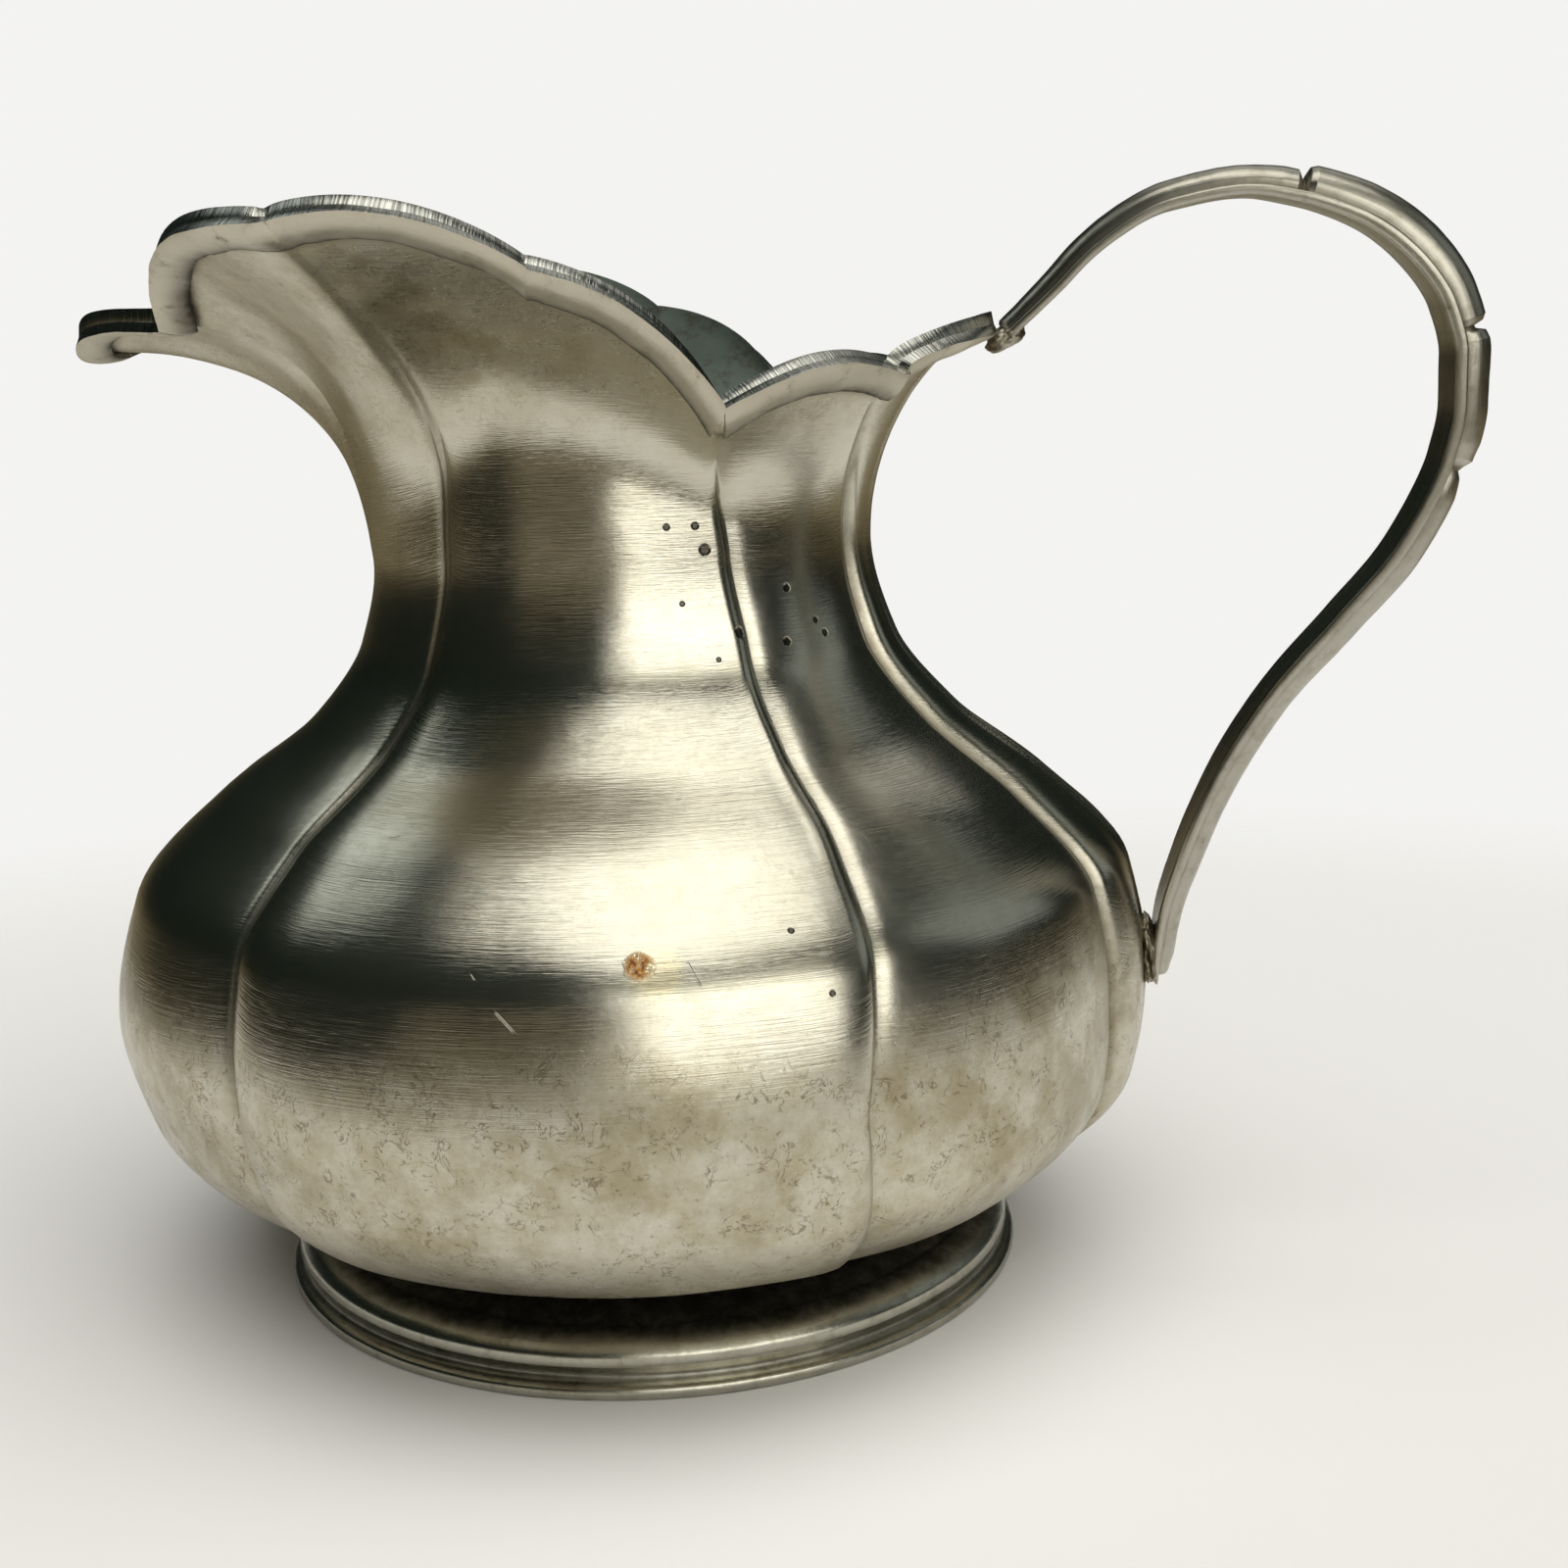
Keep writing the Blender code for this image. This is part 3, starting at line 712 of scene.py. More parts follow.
# ---------------- handle and its joints
def handle_section(thickness, width, tall, wide):
    """flat inner strip, a groove, then a rounded rib outside it"""
    half = width / 2
    strip = thickness * STRIP
    soft = 0.28
    base = half * wide
    top = strip + (thickness - strip) * tall
    right = [(half - soft, 0.0), (half - soft * 0.3, soft * 0.3), (half, soft), (half, strip - soft * 0.8)]
    right += [(half - soft * 0.25, strip - soft * 0.2), (half - soft, strip)]
    right += [(base + 0.42, strip - 0.02), (base + 0.18, strip - 0.20), (base, strip - 0.06)]
    arc = []
    for i in range(1, 15):
        angle = math.pi * i / 15
        arc.append((base * math.cos(angle), strip + (top - strip) * math.sin(angle) ** 0.85))
    left = [(-x, y) for x, y in right[::-1]]
    under = [(-half * 0.5, 0.10), (0.0, 0.16), (half * 0.5, 0.10)]
    return right + arc + left + under


def handle_stops():
    """the places of the strap's rings, closer together at the steps of the rib and at the ends"""
    count = len(HANDLE_PATH) - 1
    out = [i * 0.06 for i in range(int(count / 0.06) + 1)]
    for mark in RIB_STEPS:
        out += [mark + k * 0.01 for k in range(-22, 23)]
    out += [0.02, 17.97, 17.985, 18.0]
    out = sorted(x for x in out if 0.0 <= x <= count)
    kept = [out[0]]
    for x in out[1:]:
        if x - kept[-1] > 0.006:
            kept.append(x)
    return kept


def handle():
    """the cast strap, ring after ring along its path, with painted shade and dirt in its grooves and steps
    """
    count = len(HANDLE_PATH)
    reads = [Curve(range(count), [p[i] for p in HANDLE_PATH]) for i in range(4)]
    stops = handle_stops()
    rings = []
    for at in stops:
        x, z, thickness, width = (read(at) for read in reads)
        before = max(at - 0.35, 0.0)
        after = min(at + 0.35, count - 1.0)
        run, climb = (read(after) - read(before) for read in reads[:2])
        along = Vector((run, 0.0, climb)).normalized()
        outward = Vector((-along.z, 0.0, along.x))
        ends = min(at / 0.08, (count - 1 - at) / 0.10, 1.0)
        pinch = math.sqrt(max(1.0 - (1.0 - ends) ** 2, 0.0)) * 0.45 + 0.55
        tall, wide = blend(RIB, at, 1) * pinch, blend(RIB, at, 2)
        ring = []
        for across, up in handle_section(thickness, width * pinch, tall, wide):
            spot = Vector((AXIS_X / MM + x, across, z)) + outward * (up - thickness / 2)
            wave = 0.06 * noise.noise(spot * 0.22) + 0.03 * noise.noise(spot * 0.8)
            spot += outward * wave * (1.0 if up > thickness * STRIP else 0.4)
            spot.y += 0.05 * noise.noise(spot * 0.18 + Vector((4, 4, 4)))
            ring.append(spot)
        rings.append(ring)
    mesh = tube("strap_handle", rings)
    size = len(rings[0])
    values = []
    for at in stops:
        # painted shade and dirt in the grooves and the steps of the rib
        notch = max(hump(at - step, reach) for step, reach in STEP_SHADE_AND_GRIME)
        for k in range(size):
            groove = 0.7 if k in GROOVE_POINTS else 0.0
            values.append(max(groove, notch * (0.9 if k in RIB_POINTS else 0.2)))
    grime_and_shade = mesh.attributes.new("grime_and_shade", "FLOAT", "POINT")
    grime_and_shade.data.foreach_set("value", values)
    wrap = mesh.uv_layers.new(name="wrap")
    for loop in mesh.loops:
        ring, k = divmod(loop.vertex_index, size)
        wrap.data[loop.index].uv = (stops[ring] * WRAP_PLACE, k * WRAP_POINT)
    obj = new_object("strap_handle", mesh)
    coat(obj, "handle_cast")
    recalculate(obj)
    finish_piece(obj, "handle")


def lump(name, centre, size, tilt, node):
    """a lump of solder: a ball flattened, dragged and left uneven"""
    bumps = 0.10
    obj = ball(name)
    for vertex in obj.data.vertices:
        way = vertex.co.normalized()
        broad, fine = noise.noise(way * 1.3 + Vector(centre)), noise.noise(way * 4.0)
        vertex.co *= 1.0 + bumps * 2.2 * broad + bumps * 0.8 * fine
    obj.scale = Vector(size) * MM
    obj.rotation_euler = (0.0, math.radians(tilt), 0.0)
    obj.location = (AXIS_X + centre[0] * MM, centre[1] * MM, centre[2] * MM)
    coat(obj, "solder")
    finish_piece(obj, node)
    recalculate(obj)


# ---------------- finishes
class Value:
    """a number or colour in a material, with ordinary arithmetic on numbers"""

    def __init__(self, paint, socket):
        self.paint, self.socket = paint, socket

    def __add__(self, other):
        return self.paint.math("ADD", self, other)

    def __sub__(self, other):
        return self.paint.math("SUBTRACT", self, other)

    def __mul__(self, other):
        return self.paint.math("MULTIPLY", self, other)

    def __rsub__(self, other):
        return self.paint.math("SUBTRACT", other, self)

    def __radd__(self, other):
        return self.paint.math("ADD", other, self)

    def __rmul__(self, other):
        return self.paint.math("MULTIPLY", other, self)


def rgba(colour):
    """a plain colour with its alpha, or a colour made by nodes as it is"""
    return (*colour, 1.0) if isinstance(colour, tuple) else colour


class Paint:
    """one material's nodes"""

    def __init__(self, name):
        self.material = bpy.data.materials.new(name)
        self.material.use_nodes = True
        self.tree = self.material.node_tree
        self.shader = self.tree.nodes["Principled BSDF"]
        self.place = self.node("ShaderNodeTexCoord").outputs["Object"]
        self.wrap = self.node("ShaderNodeUVMap", uv_map="wrap").outputs["UV"]

    def node(self, kind, ins=None, **settings):
        made = self.tree.nodes.new(kind)
        for key, value in settings.items():
            setattr(made, key, value)
        for key, value in (ins or {}).items():
            self.put(made.inputs[key], value)
        return made

    def put(self, socket, value):
        if isinstance(value, Value):
            value = value.socket
        if isinstance(value, bpy.types.NodeSocket):
            self.tree.links.new(value, socket)
        else:
            socket.default_value = value

    def math(self, operation, a, b=0.0, clamp=False):
        made = self.node("ShaderNodeMath", {0: a, 1: b}, operation=operation, use_clamp=clamp)
        return Value(self, made.outputs[0])

    def clamp(self, a):
        return self.math("ADD", a, 0.0, True)

    def most(self, values):
        """the largest of several values"""
        largest = None
        for value in values:
            largest = value if largest is None else self.math("MAXIMUM", largest, value)
        return largest

    def vector(self, operation, *ins):
        return self.node("ShaderNodeVectorMath", dict(enumerate(ins)), operation=operation).outputs

    def noise(self, scale, detail, rough, twist=0.0, source=None):
        made = self.node("ShaderNodeTexNoise", {
            "Vector": source or self.place, "Scale": scale, "Detail": detail, "Roughness": rough,
            "Distortion": twist})
        return Value(self, made.outputs["Fac"])

    def streaks(self, along, across, detail):
        """noise drawn out along the piece"""
        made = self.node("ShaderNodeMapping", {"Vector": self.wrap, "Scale": (along, across, 1.0)})
        return self.noise(1.0, detail, 0.6, source=made.outputs["Vector"])

    def cells(self, scale):
        return self.node("ShaderNodeTexVoronoi", {"Vector": self.place, "Scale": scale}, feature="F1")

    def span(self, a, low, high, to_low=0.0, to_high=1.0):
        """a soft ramp of a, from to_low at low to to_high at high"""
        made = self.node("ShaderNodeMapRange", {
            "Value": a, "From Min": low, "From Max": high, "To Min": to_low, "To Max": to_high},
            interpolation_type="SMOOTHSTEP")
        return Value(self, made.outputs["Result"])

    def mix(self, share, a, b):
        made = self.node("ShaderNodeMix", data_type="RGBA")
        self.put(made.inputs[0], share)
        for slot, colour in ((6, a), (7, b)):
            self.put(made.inputs[slot], rgba(colour))
        return made.outputs[2]

    def attribute(self, name):
        return Value(self, self.node("ShaderNodeAttribute", attribute_name=name).outputs["Fac"])

    def height(self):
        return Value(self, self.node("ShaderNodeSeparateXYZ", {"Vector": self.place}).outputs["Z"])

    def away(self, centre):
        return Value(self, self.vector("DISTANCE", self.place, centre)["Value"])

    def spot(self, centre, radius, soft=0.5):
        """1 at a place on the piece, 0 beyond the radius"""
        return self.span(self.away(centre), radius, radius * (1 - soft))

    def line(self, start, end, width):
        """1 along a straight scratch between two places"""
        a, b = Vector(start), Vector(end)
        way = tuple((b - a).normalized())
        length = (b - a).length
        rel = self.vector("SUBTRACT", self.place, tuple(a))[0]
        dot = Value(self, self.vector("DOT_PRODUCT", rel, way)["Value"])
        side = self.vector("CROSS_PRODUCT", rel, way)[0]
        off = Value(self, self.vector("LENGTH", side)["Value"])
        along = self.span(dot, 0.0, length * 0.2) * self.span(dot, length, length * 0.7)
        return self.span(off, width, width * 0.3) * along

    def bump(self, height, distance, strength=1.0, normal=None):
        ins = {"Strength": strength, "Distance": distance, "Height": height}
        if normal is not None:
            ins["Normal"] = normal
        return self.node("ShaderNodeBump", ins).outputs["Normal"]

    def done(self, colour, roughness, normal, metallic=1.0):
        self.put(self.shader.inputs["Base Color"], rgba(colour))
        self.put(self.shader.inputs["Roughness"], roughness)
        self.put(self.shader.inputs["Metallic"], metallic)
        self.put(self.shader.inputs["Normal"], normal)
        return self.material


def at(x, y, z):
    """a place on the piece in millimetres, turned into metres"""
    return (x * MM, y * MM, z * MM)


CLEAN = (0.66, 0.64, 0.56)
BRIGHT = (0.80, 0.78, 0.70)
DULL = (0.50, 0.45, 0.32)
TARNISH = (0.34, 0.29, 0.18)
BROWN = (0.13, 0.095, 0.05)
BLACK = (0.035, 0.032, 0.025)
RUST_STAIN = (0.80, 0.70, 0.44)
RUST = (0.60, 0.28, 0.04)
RUST_DARK = (0.12, 0.035, 0.008)

# where, radius
PITS = [
    (at(-6.5, -21.1, 71.3), 0.30), (at(-4.2, -20.3, 71.3), 0.34), (at(-3.5, -20.1, 69.3), 0.50),
    (at(-0.8, -19.8, 62.3), 0.55), (at(2.7, -14.7, 65.4), 0.40), (at(2.8, -16.3, 61.0), 0.42),
    (at(5.0, -12.9, 62.4), 0.34), (at(5.7, -12.4, 61.2), 0.38), (at(-5.3, -21.6, 65.0), 0.24),
    (at(-2.4, -21.6, 60.3), 0.22), (at(4.9, -39.2, 42.0), 0.26), (at(8.1, -40.8, 37.5), 0.26),
]
# from, to, width
SCRATCHES = [
    (at(-19.0, -44.5, 40.3), at(-16.8, -46.2, 37.4), 0.16),
    (at(-17.0, -46.1, 37.7), at(-15.0, -46.8, 35.8), 0.12),
    (at(-20.4, -22.3, 65.4), at(-19.1, -23.7, 61.2), 0.10),
    (at(-28.3, -33.5, 47.8), at(-20.2, -34.1, 49.1), 0.10),
    (at(-2.7, -43.0, 40.7), at(-1.4, -44.1, 38.8), 0.12),
]


def pewter_outside():
    """worn metal: clean on the upper belly, brown and flecked on the lower belly and under the mouth;
    painted shade darkens the throat under the mouth, the creases, the edge below the band and the lowest
    belly by the foot
    """
    p = Paint("pewter_outside")
    z = p.height()
    cloud = p.noise(42.0, 3.0, 0.5)
    mottle = p.noise(420.0, 8.0, 0.78)
    speck = p.noise(1500.0, 5.0, 0.8)
    drag = p.streaks(110.0, 3400.0, 4.0)
    fine = p.streaks(300.0, 9000.0, 2.0)
    # 1 on the lower belly, 1 on the throat under the mouth, 0 between them; the throat's darkening is
    # tarnish and painted shade
    low = p.span(z + (cloud - 0.5) * 0.016, 0.0375, 0.0310)
    throat_tarnish_and_shade = p.span(z + (cloud - 0.5) * 0.014, 0.0760, 0.0850)
    oxide = p.clamp(p.span(mottle, 0.36, 0.68) * (0.22 + 0.38 * low + 0.30 * throat_tarnish_and_shade) + 0.25 * low * cloud)
    grime_and_shade = p.clamp(p.attribute("grime_and_shade") * p.span(mottle, 0.25, 0.55, 0.55, 1.15))
    cell = p.cells(210.0)
    pick = Value(p, p.node("ShaderNodeSeparateColor", {"Color": cell.outputs["Color"]}).outputs[0])
    dot = p.span(Value(p, cell.outputs["Distance"]), 0.10, 0.04)
    dot = dot * p.span(pick, 0.70, 0.95) * (0.25 + 0.75 * low)
    flecks = p.span(speck, 0.58, 0.72) * (0.10 + 0.72 * low + 0.30 * throat_tarnish_and_shade)
    pits = p.most(p.spot(centre, radius * 1.15 * MM, 0.45) for centre, radius in PITS)
    scratch = p.most(p.line(start, end, width * MM) for start, end, width in SCRATCHES)
    rust_noise = p.noise(1500.0, 4.0, 0.7)
    rust_core = p.span(p.away(at(-6.2, -43.9, 40.5)) + (rust_noise - 0.5) * 0.0016, 0.00135, 0.0008)
    rust_halo = p.span(p.away(at(-5.0, -44.0, 40.2)) + (rust_noise - 0.5) * 0.0026, 0.0026, 0.0016)
    crumbs = p.clamp(rust_core * p.span(rust_noise, 0.38, 0.50))
    patches = p.span(p.noise(130.0, 6.0, 0.68), 0.40, 0.66)
    thread = p.math("ABSOLUTE", p.noise(520.0, 3.0, 0.6, 1.2) - 0.5)
    wisps = p.span(thread, 0.026, 0.006) * p.span(p.noise(330.0, 3.0, 0.6), 0.46, 0.58)
    colour = p.mix(p.clamp(cloud * 0.35 + oxide), CLEAN, DULL)
    # tarnish and painted shade: the throat under the flared mouth is darkened towards TARNISH
    colour = p.mix(patches * (0.10 + 0.66 * low + 0.40 * throat_tarnish_and_shade) + 0.36 * throat_tarnish_and_shade, colour, TARNISH)
    colour = p.mix(p.span(drag, 0.52, 0.68) * (0.16 + 0.16 * throat_tarnish_and_shade), colour, DULL)
    colour = p.mix(wisps * (0.08 + 0.50 * low + 0.25 * throat_tarnish_and_shade), colour, BROWN)
    colour = p.mix(p.clamp(flecks + dot), colour, BROWN)
    # painted shade and dirt: brown where the attribute is set, black and less metallic where it is
    # strongest, below the band, at the crease bottoms and by the foot
    colour = p.mix(grime_and_shade * 0.85, colour, BROWN)
    colour = p.mix(p.span(grime_and_shade, 0.75, 1.1) * 0.8, colour, BLACK)
    colour = p.mix(rust_halo * 0.55, colour, RUST_STAIN)
    colour = p.mix(crumbs, colour, RUST)
    colour = p.mix(crumbs * p.span(speck, 0.48, 0.56), colour, RUST_DARK)
    colour = p.mix(pits * 0.9, colour, BLACK)
    colour = p.mix(scratch * 0.6, colour, BRIGHT)
    rough = 0.17 + 0.07 * cloud + 0.08 * oxide + 0.07 * low + 0.06 * throat_tarnish_and_shade + 0.08 * (drag - 0.5)
    rough = p.clamp(rough + grime_and_shade * 0.22 + crumbs * 0.4 - rust_halo * 0.04)
    metallic = p.clamp(1.0 - crumbs * 0.9 - p.span(grime_and_shade, 0.6, 1.1) * 0.5)
    normal = p.bump(drag + fine, 0.000028, 0.55)
    normal = p.bump(mottle * (0.25 + low * 0.9 + throat_tarnish_and_shade * 0.4) - dot * 1.2, 0.00006, 0.55, normal)
    normal = p.bump(0.0 - pits * 1.0 - scratch * 0.12 + crumbs * rust_noise * 0.5, 0.00025, 0.9, normal)
    return p.done(colour, rough, normal, metallic)


def pewter_inside_painted_shade():
    p = Paint("pewter_inside_painted_shade")
    cloud = p.noise(60.0, 4.0, 0.6)
    mottle = p.noise(320.0, 8.0, 0.7)
    # painted shade: the inner wall and the bottom plate are coloured dark green-grey for the shade inside
    # the jug, with darker mottling
    colour = p.mix(cloud, (0.12, 0.14, 0.12), (0.06, 0.08, 0.07))
    colour = p.mix(p.span(mottle, 0.5, 0.7), colour, (0.06, 0.055, 0.04))
    rough = 0.36 + 0.14 * cloud + 0.1 * mottle
    normal = p.bump(mottle, 0.00008, 0.6)
    return p.done(colour, rough, normal)


def filed_edge():
    """the top of the rim, with file marks across it"""
    p = Paint("filed_edge")
    marks = p.streaks(5200.0, 60.0, 3.0)
    broad = p.streaks(900.0, 30.0, 3.0)
    mottle = p.noise(420.0, 5.0, 0.7)
    colour = p.mix(p.span(marks, 0.35, 0.65), (0.20, 0.20, 0.18), (0.60, 0.60, 0.56))
    colour = p.mix(p.span(mottle, 0.55, 0.70) * 0.6, colour, BROWN)
    rough = 0.18 + 0.14 * broad
    normal = p.bump(marks + broad, 0.00007, 0.8)
    return p.done(colour, rough, normal)


def band_face():
    p = Paint("band_face")
    cloud = p.noise(90.0, 4.0, 0.6)
    mottle = p.noise(420.0, 7.0, 0.7)
    marks = p.streaks(420.0, 2600.0, 4.0)
    grime_and_shade = p.clamp(p.attribute("grime_and_shade") * p.span(mottle, 0.25, 0.55, 0.6, 1.2))
    dulled = p.clamp(cloud * 0.6 + p.span(mottle, 0.5, 0.75) * 0.6)
    colour = p.mix(dulled, (0.64, 0.60, 0.50), (0.36, 0.32, 0.23))
    colour = p.mix(p.span(mottle, 0.60, 0.72) * 0.7, colour, BROWN)
    # painted shade: black towards the band's lower edge, from the attribute
    colour = p.mix(grime_and_shade, colour, BLACK)
    rough = p.clamp(0.30 + 0.14 * cloud + 0.08 * mottle + grime_and_shade * 0.3)
    normal = p.bump(marks * 0.6 + mottle, 0.00008, 0.6)
    return p.done(colour, rough, normal)


def foot_cast():
    p = Paint("foot_cast")
    z = p.height()
    cloud = p.noise(70.0, 4.0, 0.6)
    mottle = p.noise(500.0, 8.0, 0.75)
    # painted shadow on the foot's upper face under the belly, and painted shade in the groove of its
    # moulding
    top = p.span(z + (cloud - 0.5) * 0.0010, 0.0041, 0.0050)
    groove = p.span(z, 0.00115, 0.0015) * p.span(z, 0.0022, 0.0018)
    grime_and_shade = p.clamp(top * 0.9 + groove * 0.5)
    dulled = p.clamp(cloud * 0.5 + p.span(mottle, 0.45, 0.7) * 0.5)
    colour = p.mix(dulled, (0.54, 0.53, 0.46), (0.26, 0.24, 0.17))
    colour = p.mix(p.span(mottle, 0.60, 0.70) * 0.6, colour, BROWN)
    colour = p.mix(grime_and_shade * p.span(mottle, 0.2, 0.6, 0.6, 1.0), colour, BLACK)
    rough = p.clamp(0.13 + 0.10 * cloud + 0.1 * mottle + grime_and_shade * 0.3)
    normal = p.bump(mottle, 0.00007, 0.6)
    return p.done(colour, rough, normal)


def handle_cast():
    p = Paint("handle_cast")
    cloud = p.noise(80.0, 4.0, 0.6)
    mottle = p.noise(450.0, 8.0, 0.72)
    drag = p.streaks(60.0, 2600.0, 4.0)
    grime_and_shade = p.clamp(p.attribute("grime_and_shade") * p.span(mottle, 0.2, 0.6, 0.5, 1.15))
    dulled = p.clamp(cloud * 0.5 + p.span(mottle, 0.45, 0.7) * 0.5)
    colour = p.mix(dulled, (0.50, 0.48, 0.42), (0.28, 0.26, 0.20))
    colour = p.mix(p.span(mottle, 0.62, 0.72) * 0.5, colour, BROWN)
    # painted shade and dirt in the grooves and the steps of the rib
    colour = p.mix(grime_and_shade * 0.8, colour, BROWN)
    rough = p.clamp(0.20 + 0.10 * cloud + 0.08 * mottle + grime_and_shade * 0.25)
    normal = p.bump(drag * 0.7 + mottle, 0.00007, 0.6)
    return p.done(colour, rough, normal)


def solder_finish():
    p = Paint("solder")
    cloud = p.noise(400.0, 5.0, 0.65)
    colour = p.mix(p.span(cloud, 0.35, 0.65), (0.46, 0.43, 0.35), (0.15, 0.12, 0.08))
    rough = 0.30 + 0.22 * cloud
    normal = p.bump(cloud, 0.00015, 0.7)
    return p.done(colour, rough, normal)


FINISH = {
    "pewter_outside": pewter_outside(),
    "pewter_inside_painted_shade": pewter_inside_painted_shade(),
    "filed_edge": filed_edge(),
    "band_face": band_face(),
    "foot_cast": foot_cast(),
    "handle_cast": handle_cast(),
    "solder": solder_finish(),
}


# ---------------- studio, in metres
FLOOR_MIDDLE = (0.0, -0.10, 0.0)
FLOOR_RADIUS = 0.36
FLOOR_FADE = (0.31, 0.22)       # where the table top has gone, and where it starts to go
CREAM = (1.0, 0.985, 0.86)
WHITE = (1.0, 0.985, 0.92)
COOL = (0.93, 1.0, 0.97)
# name, azimuth, elevation, distance, width, height, brightness, colour
SOFTBOXES = [
    ("key", 32, 40, 2.1, 1.7, 0.7, 0.85, CREAM),
    ("overhead", 48, 83, 2.0, 1.6, 1.6, 1.95, WHITE),
    ("window", 33, 19, 2.2, 2.0, 1.15, 2.2, WHITE),
    ("front", -8, 3.5, 2.2, 2.6, 0.24, 0.34, (1.0, 0.86, 0.60)),
    ("front_brown", -12, 10, 2.25, 2.2, 0.24, 0.14, (1.0, 0.78, 0.48)),
    ("right", 106, 28, 2.2, 1.4, 1.3, 0.27, COOL),
    ("left", -116, 48, 2.2, 0.9, 0.7, 0.90, COOL),
    ("rear", 168, 46, 2.2, 1.6, 1.0, 0.60, (1.0, 0.99, 0.93)),
]
# how the room looks in the metal, from straight down at 0 to straight up at 1
ROOM = [
    (0.30, (0.34, 0.31, 0.23)), (0.42, (0.20, 0.165, 0.095)), (0.47, (0.06, 0.05, 0.03)),
    (0.51, (0.014, 0.016, 0.011)), (0.56, (0.008, 0.012, 0.009)), (1.0, (0.016, 0.024, 0.019)),
]
SURROUNDINGS = (0.90, 0.895, 0.88)
LENS, SENSOR, NEAR = 49.37, 36.0, 0.005
LOOKS = (-0.1022, 0.9728, -0.2079)  # the way the camera looks
LEVEL = (0.9945, 0.1045, 0.0)       # its level, before the roll
ROLL = -1.44
STAND = (34.52, -197.13, 87.22)     # millimetres from the jug's axis


def floor():
    """a pale round table top"""
    bpy.ops.mesh.primitive_circle_add(
        vertices=128, radius=FLOOR_RADIUS, fill_type="NGON", location=FLOOR_MIDDLE)
    bpy.ops.object.transform_apply(location=True)
    obj = bpy.context.object
    obj.name = "floor"
    p = Paint("pale_floor")
    grain = p.noise(900.0, 2.0, 0.5)
    p.shader.inputs["Specular IOR Level"].default_value = 0.2
    colour = p.mix(grain * 0.15, (0.86, 0.845, 0.81), (0.84, 0.825, 0.79))
    p.done(colour, 0.9, p.bump(grain, 0.00002, 0.2), 0.0)
    p.put(p.shader.inputs["Alpha"], p.span(p.away(FLOOR_MIDDLE), *FLOOR_FADE))
    obj.data.materials.append(p.material)


def softbox(name, azimuth, elevation, far, wide, tall, glow, colour):
    """a soft light that shows only in the metal; azimuth 0 is towards the viewer"""
    data = bpy.data.lights.new(name, "AREA")
    data.shape = "RECTANGLE"
    data.size = wide
    data.size_y = tall
    data.energy = glow * math.pi * wide * tall
    data.color = colour
    a, e = math.radians(azimuth), math.radians(elevation)
    way = Vector((math.sin(a) * math.cos(e), -math.cos(a) * math.cos(e), math.sin(e)))
    obj = new_object(name, data)
    obj.location = way * far + Vector((0, 0, 0.04))
    obj.rotation_euler = way.to_track_quat("Z", "Y").to_euler()
    obj.visible_camera = False
    obj.visible_diffuse = False


def daylight():
    """very soft light from above that lifts the table and gives the jug its shadow"""
    data = bpy.data.lights.new("daylight", "SUN")
    data.energy = 3.15
    data.angle = math.radians(75)
    data.color = (1.0, 0.995, 0.98)
    obj = new_object("daylight", data)
    obj.rotation_euler = (math.radians(14), math.radians(10), 0)
    obj.visible_camera = False
    obj.visible_glossy = False


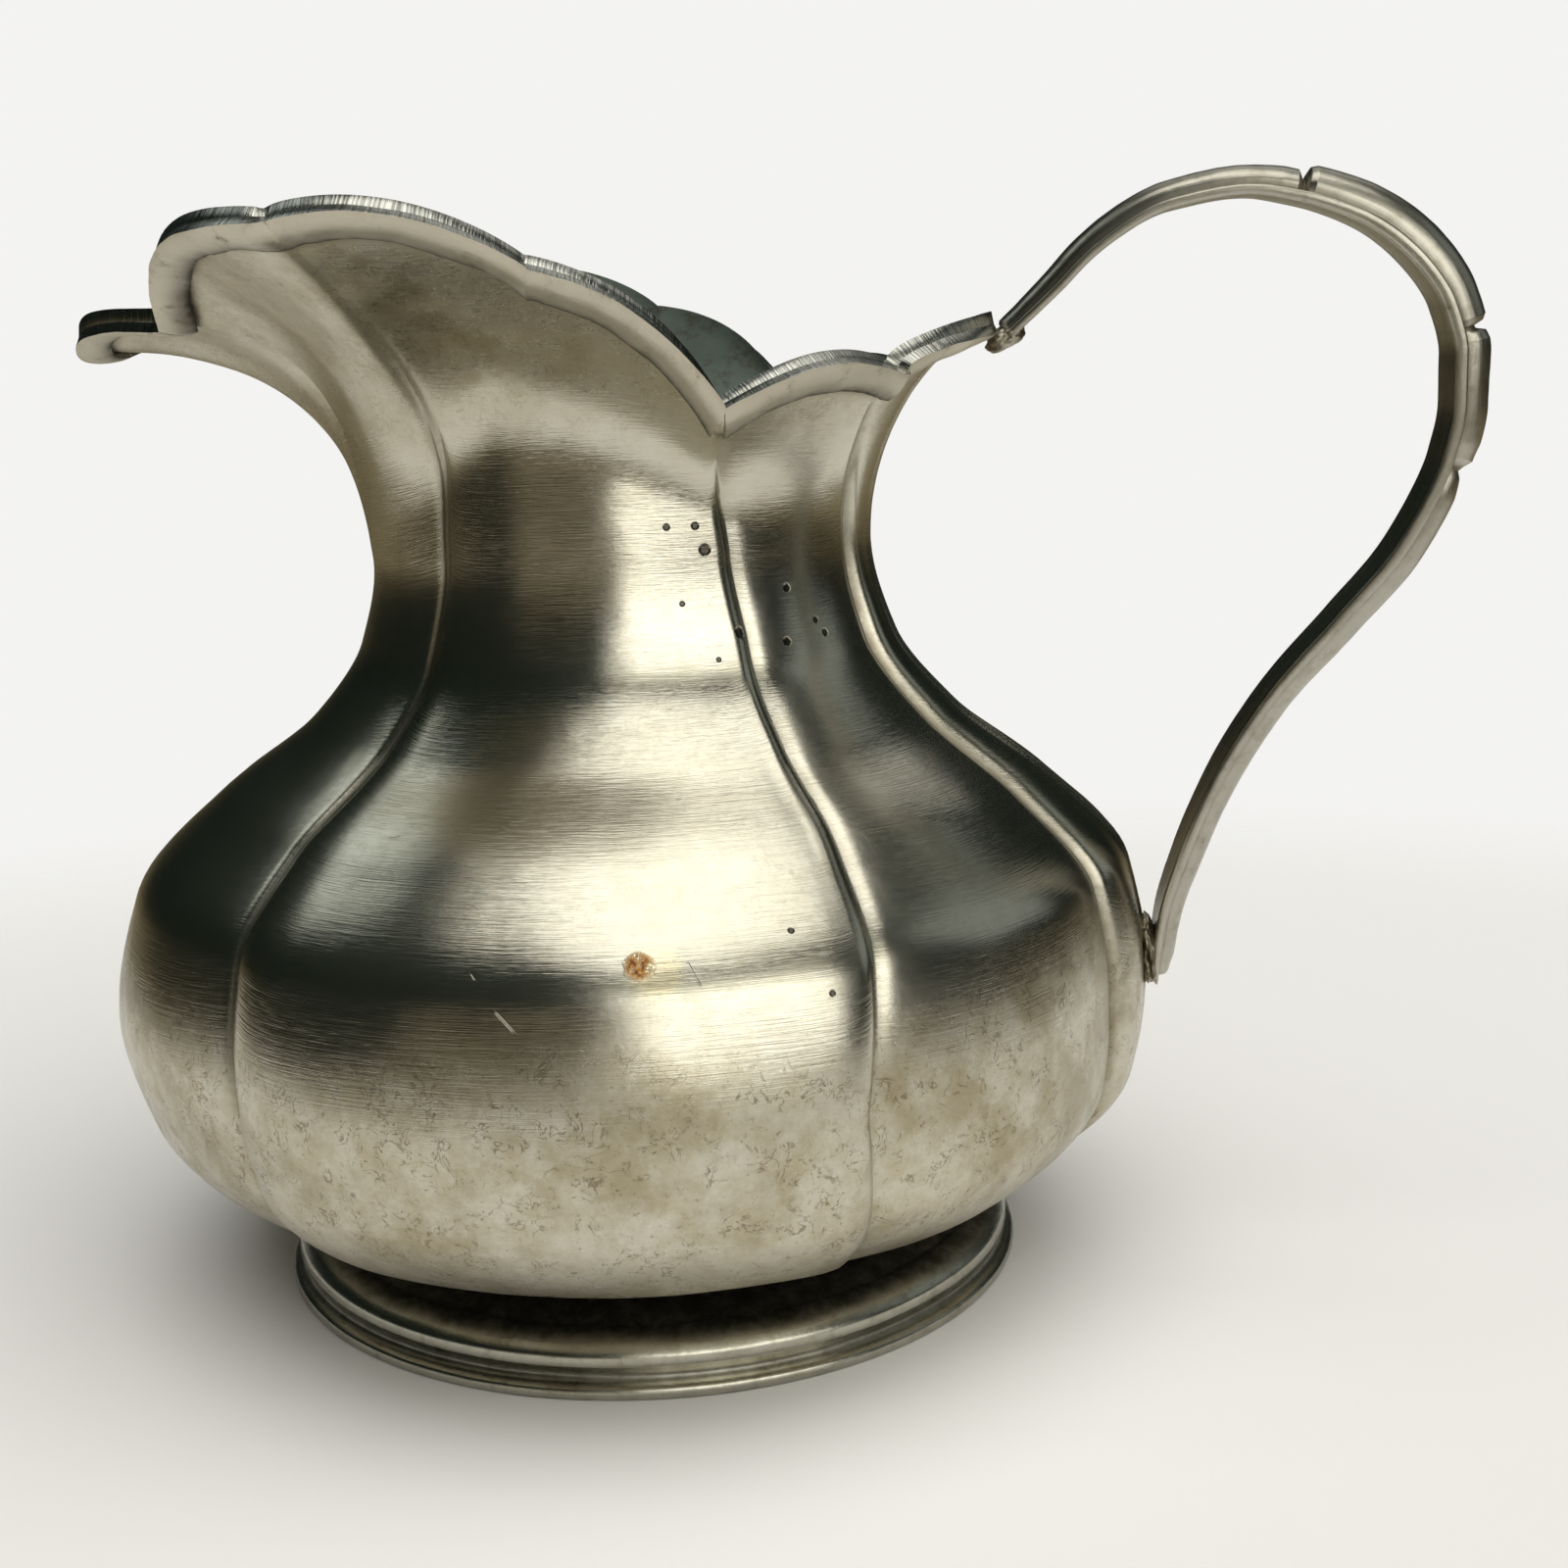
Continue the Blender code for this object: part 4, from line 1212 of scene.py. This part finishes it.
def room():
    """a dim green-grey room, paler to the eye than to the metal"""
    world = bpy.data.worlds.new("room")
    world.use_nodes = True
    bpy.context.scene.world = world
    tree = world.node_tree
    tree.nodes.clear()
    make, join = tree.nodes.new, tree.links.new
    coord = make("ShaderNodeTexCoord")
    split = make("ShaderNodeSeparateXYZ")
    ramp = make("ShaderNodeValToRGB")
    join(coord.outputs["Generated"], split.inputs[0])
    level = make("ShaderNodeMath")
    level.operation = "MULTIPLY_ADD"
    level.inputs[1].default_value = 0.5
    level.inputs[2].default_value = 0.5
    join(split.outputs["Z"], level.inputs[0])
    join(level.outputs[0], ramp.inputs[0])
    ramp.color_ramp.elements[0].position = ROOM[0][0]
    ramp.color_ramp.elements[1].position = ROOM[-1][0]
    for position, _ in ROOM[1:-1]:
        ramp.color_ramp.elements.new(position)
    for element, (_, colour) in zip(ramp.color_ramp.elements, ROOM):
        element.color = rgba(colour)
    dim = make("ShaderNodeBackground")
    join(ramp.outputs["Color"], dim.inputs["Color"])
    pale = make("ShaderNodeBackground")
    pale.inputs["Color"].default_value = rgba(SURROUNDINGS)
    path = make("ShaderNodeLightPath")
    mix = make("ShaderNodeMixShader")
    out = make("ShaderNodeOutputWorld")
    join(path.outputs["Is Camera Ray"], mix.inputs[0])
    join(dim.outputs[0], mix.inputs[1])
    join(pale.outputs[0], mix.inputs[2])
    join(mix.outputs[0], out.inputs[0])


def camera():
    data = bpy.data.cameras.new("viewpoint")
    data.lens = LENS
    data.sensor_width = SENSOR
    data.clip_start = NEAR
    obj = new_object("viewpoint", data)
    forward = Vector(LOOKS).normalized()
    right = Vector(LEVEL).normalized()
    up = right.cross(forward).normalized()
    roll = math.radians(ROLL)
    across = right * math.cos(roll) + up * math.sin(roll)
    above = up * math.cos(roll) - right * math.sin(roll)
    turn = Matrix((across, above, -forward)).transposed()
    x, y, z = STAND
    stand = Vector((AXIS_X + x * MM, y * MM, z * MM))
    obj.matrix_world = Matrix.Translation(stand) @ turn.to_4x4()
    bpy.context.scene.camera = obj


def build():
    body_half("belly_shell_left", -1, "body_left")
    body_half("belly_shell_right", 1, "body_right")
    band("rim_band_left", [(-1, (2, 3, 4))], "band_left")
    band("rim_band_right", [(1, (2, 3, 4))], "band_right")
    band("rim_band_rear", [(1, (0, 1)), (-1, (0, 1))], "band_rear")
    band("rim_band_spout", [(-1, (5,)), (1, (5,))], "band_spout")
    solder_run("solder_thread_left", -1)
    solder_run("solder_thread_right", 1)
    bottom()
    foot()
    handle()
    notch_fill("notch_solder_left", -1)
    notch_fill("notch_solder_right", 1)
    lump("upper_joint_solder", (34.8, 0.0, 85.9), (3.9, 5.3, 2.1), -32.0, "handle_solder")
    lump("lower_joint_lug", (47.9, 0.0, 29.0), (1.9, 6.2, 6.6), -8.0, "handle_lug")
    floor()
    room()
    for box in SOFTBOXES:
        softbox(*box)
    daylight()
    camera()
    bpy.context.scene.view_settings.view_transform = "Standard"


build()
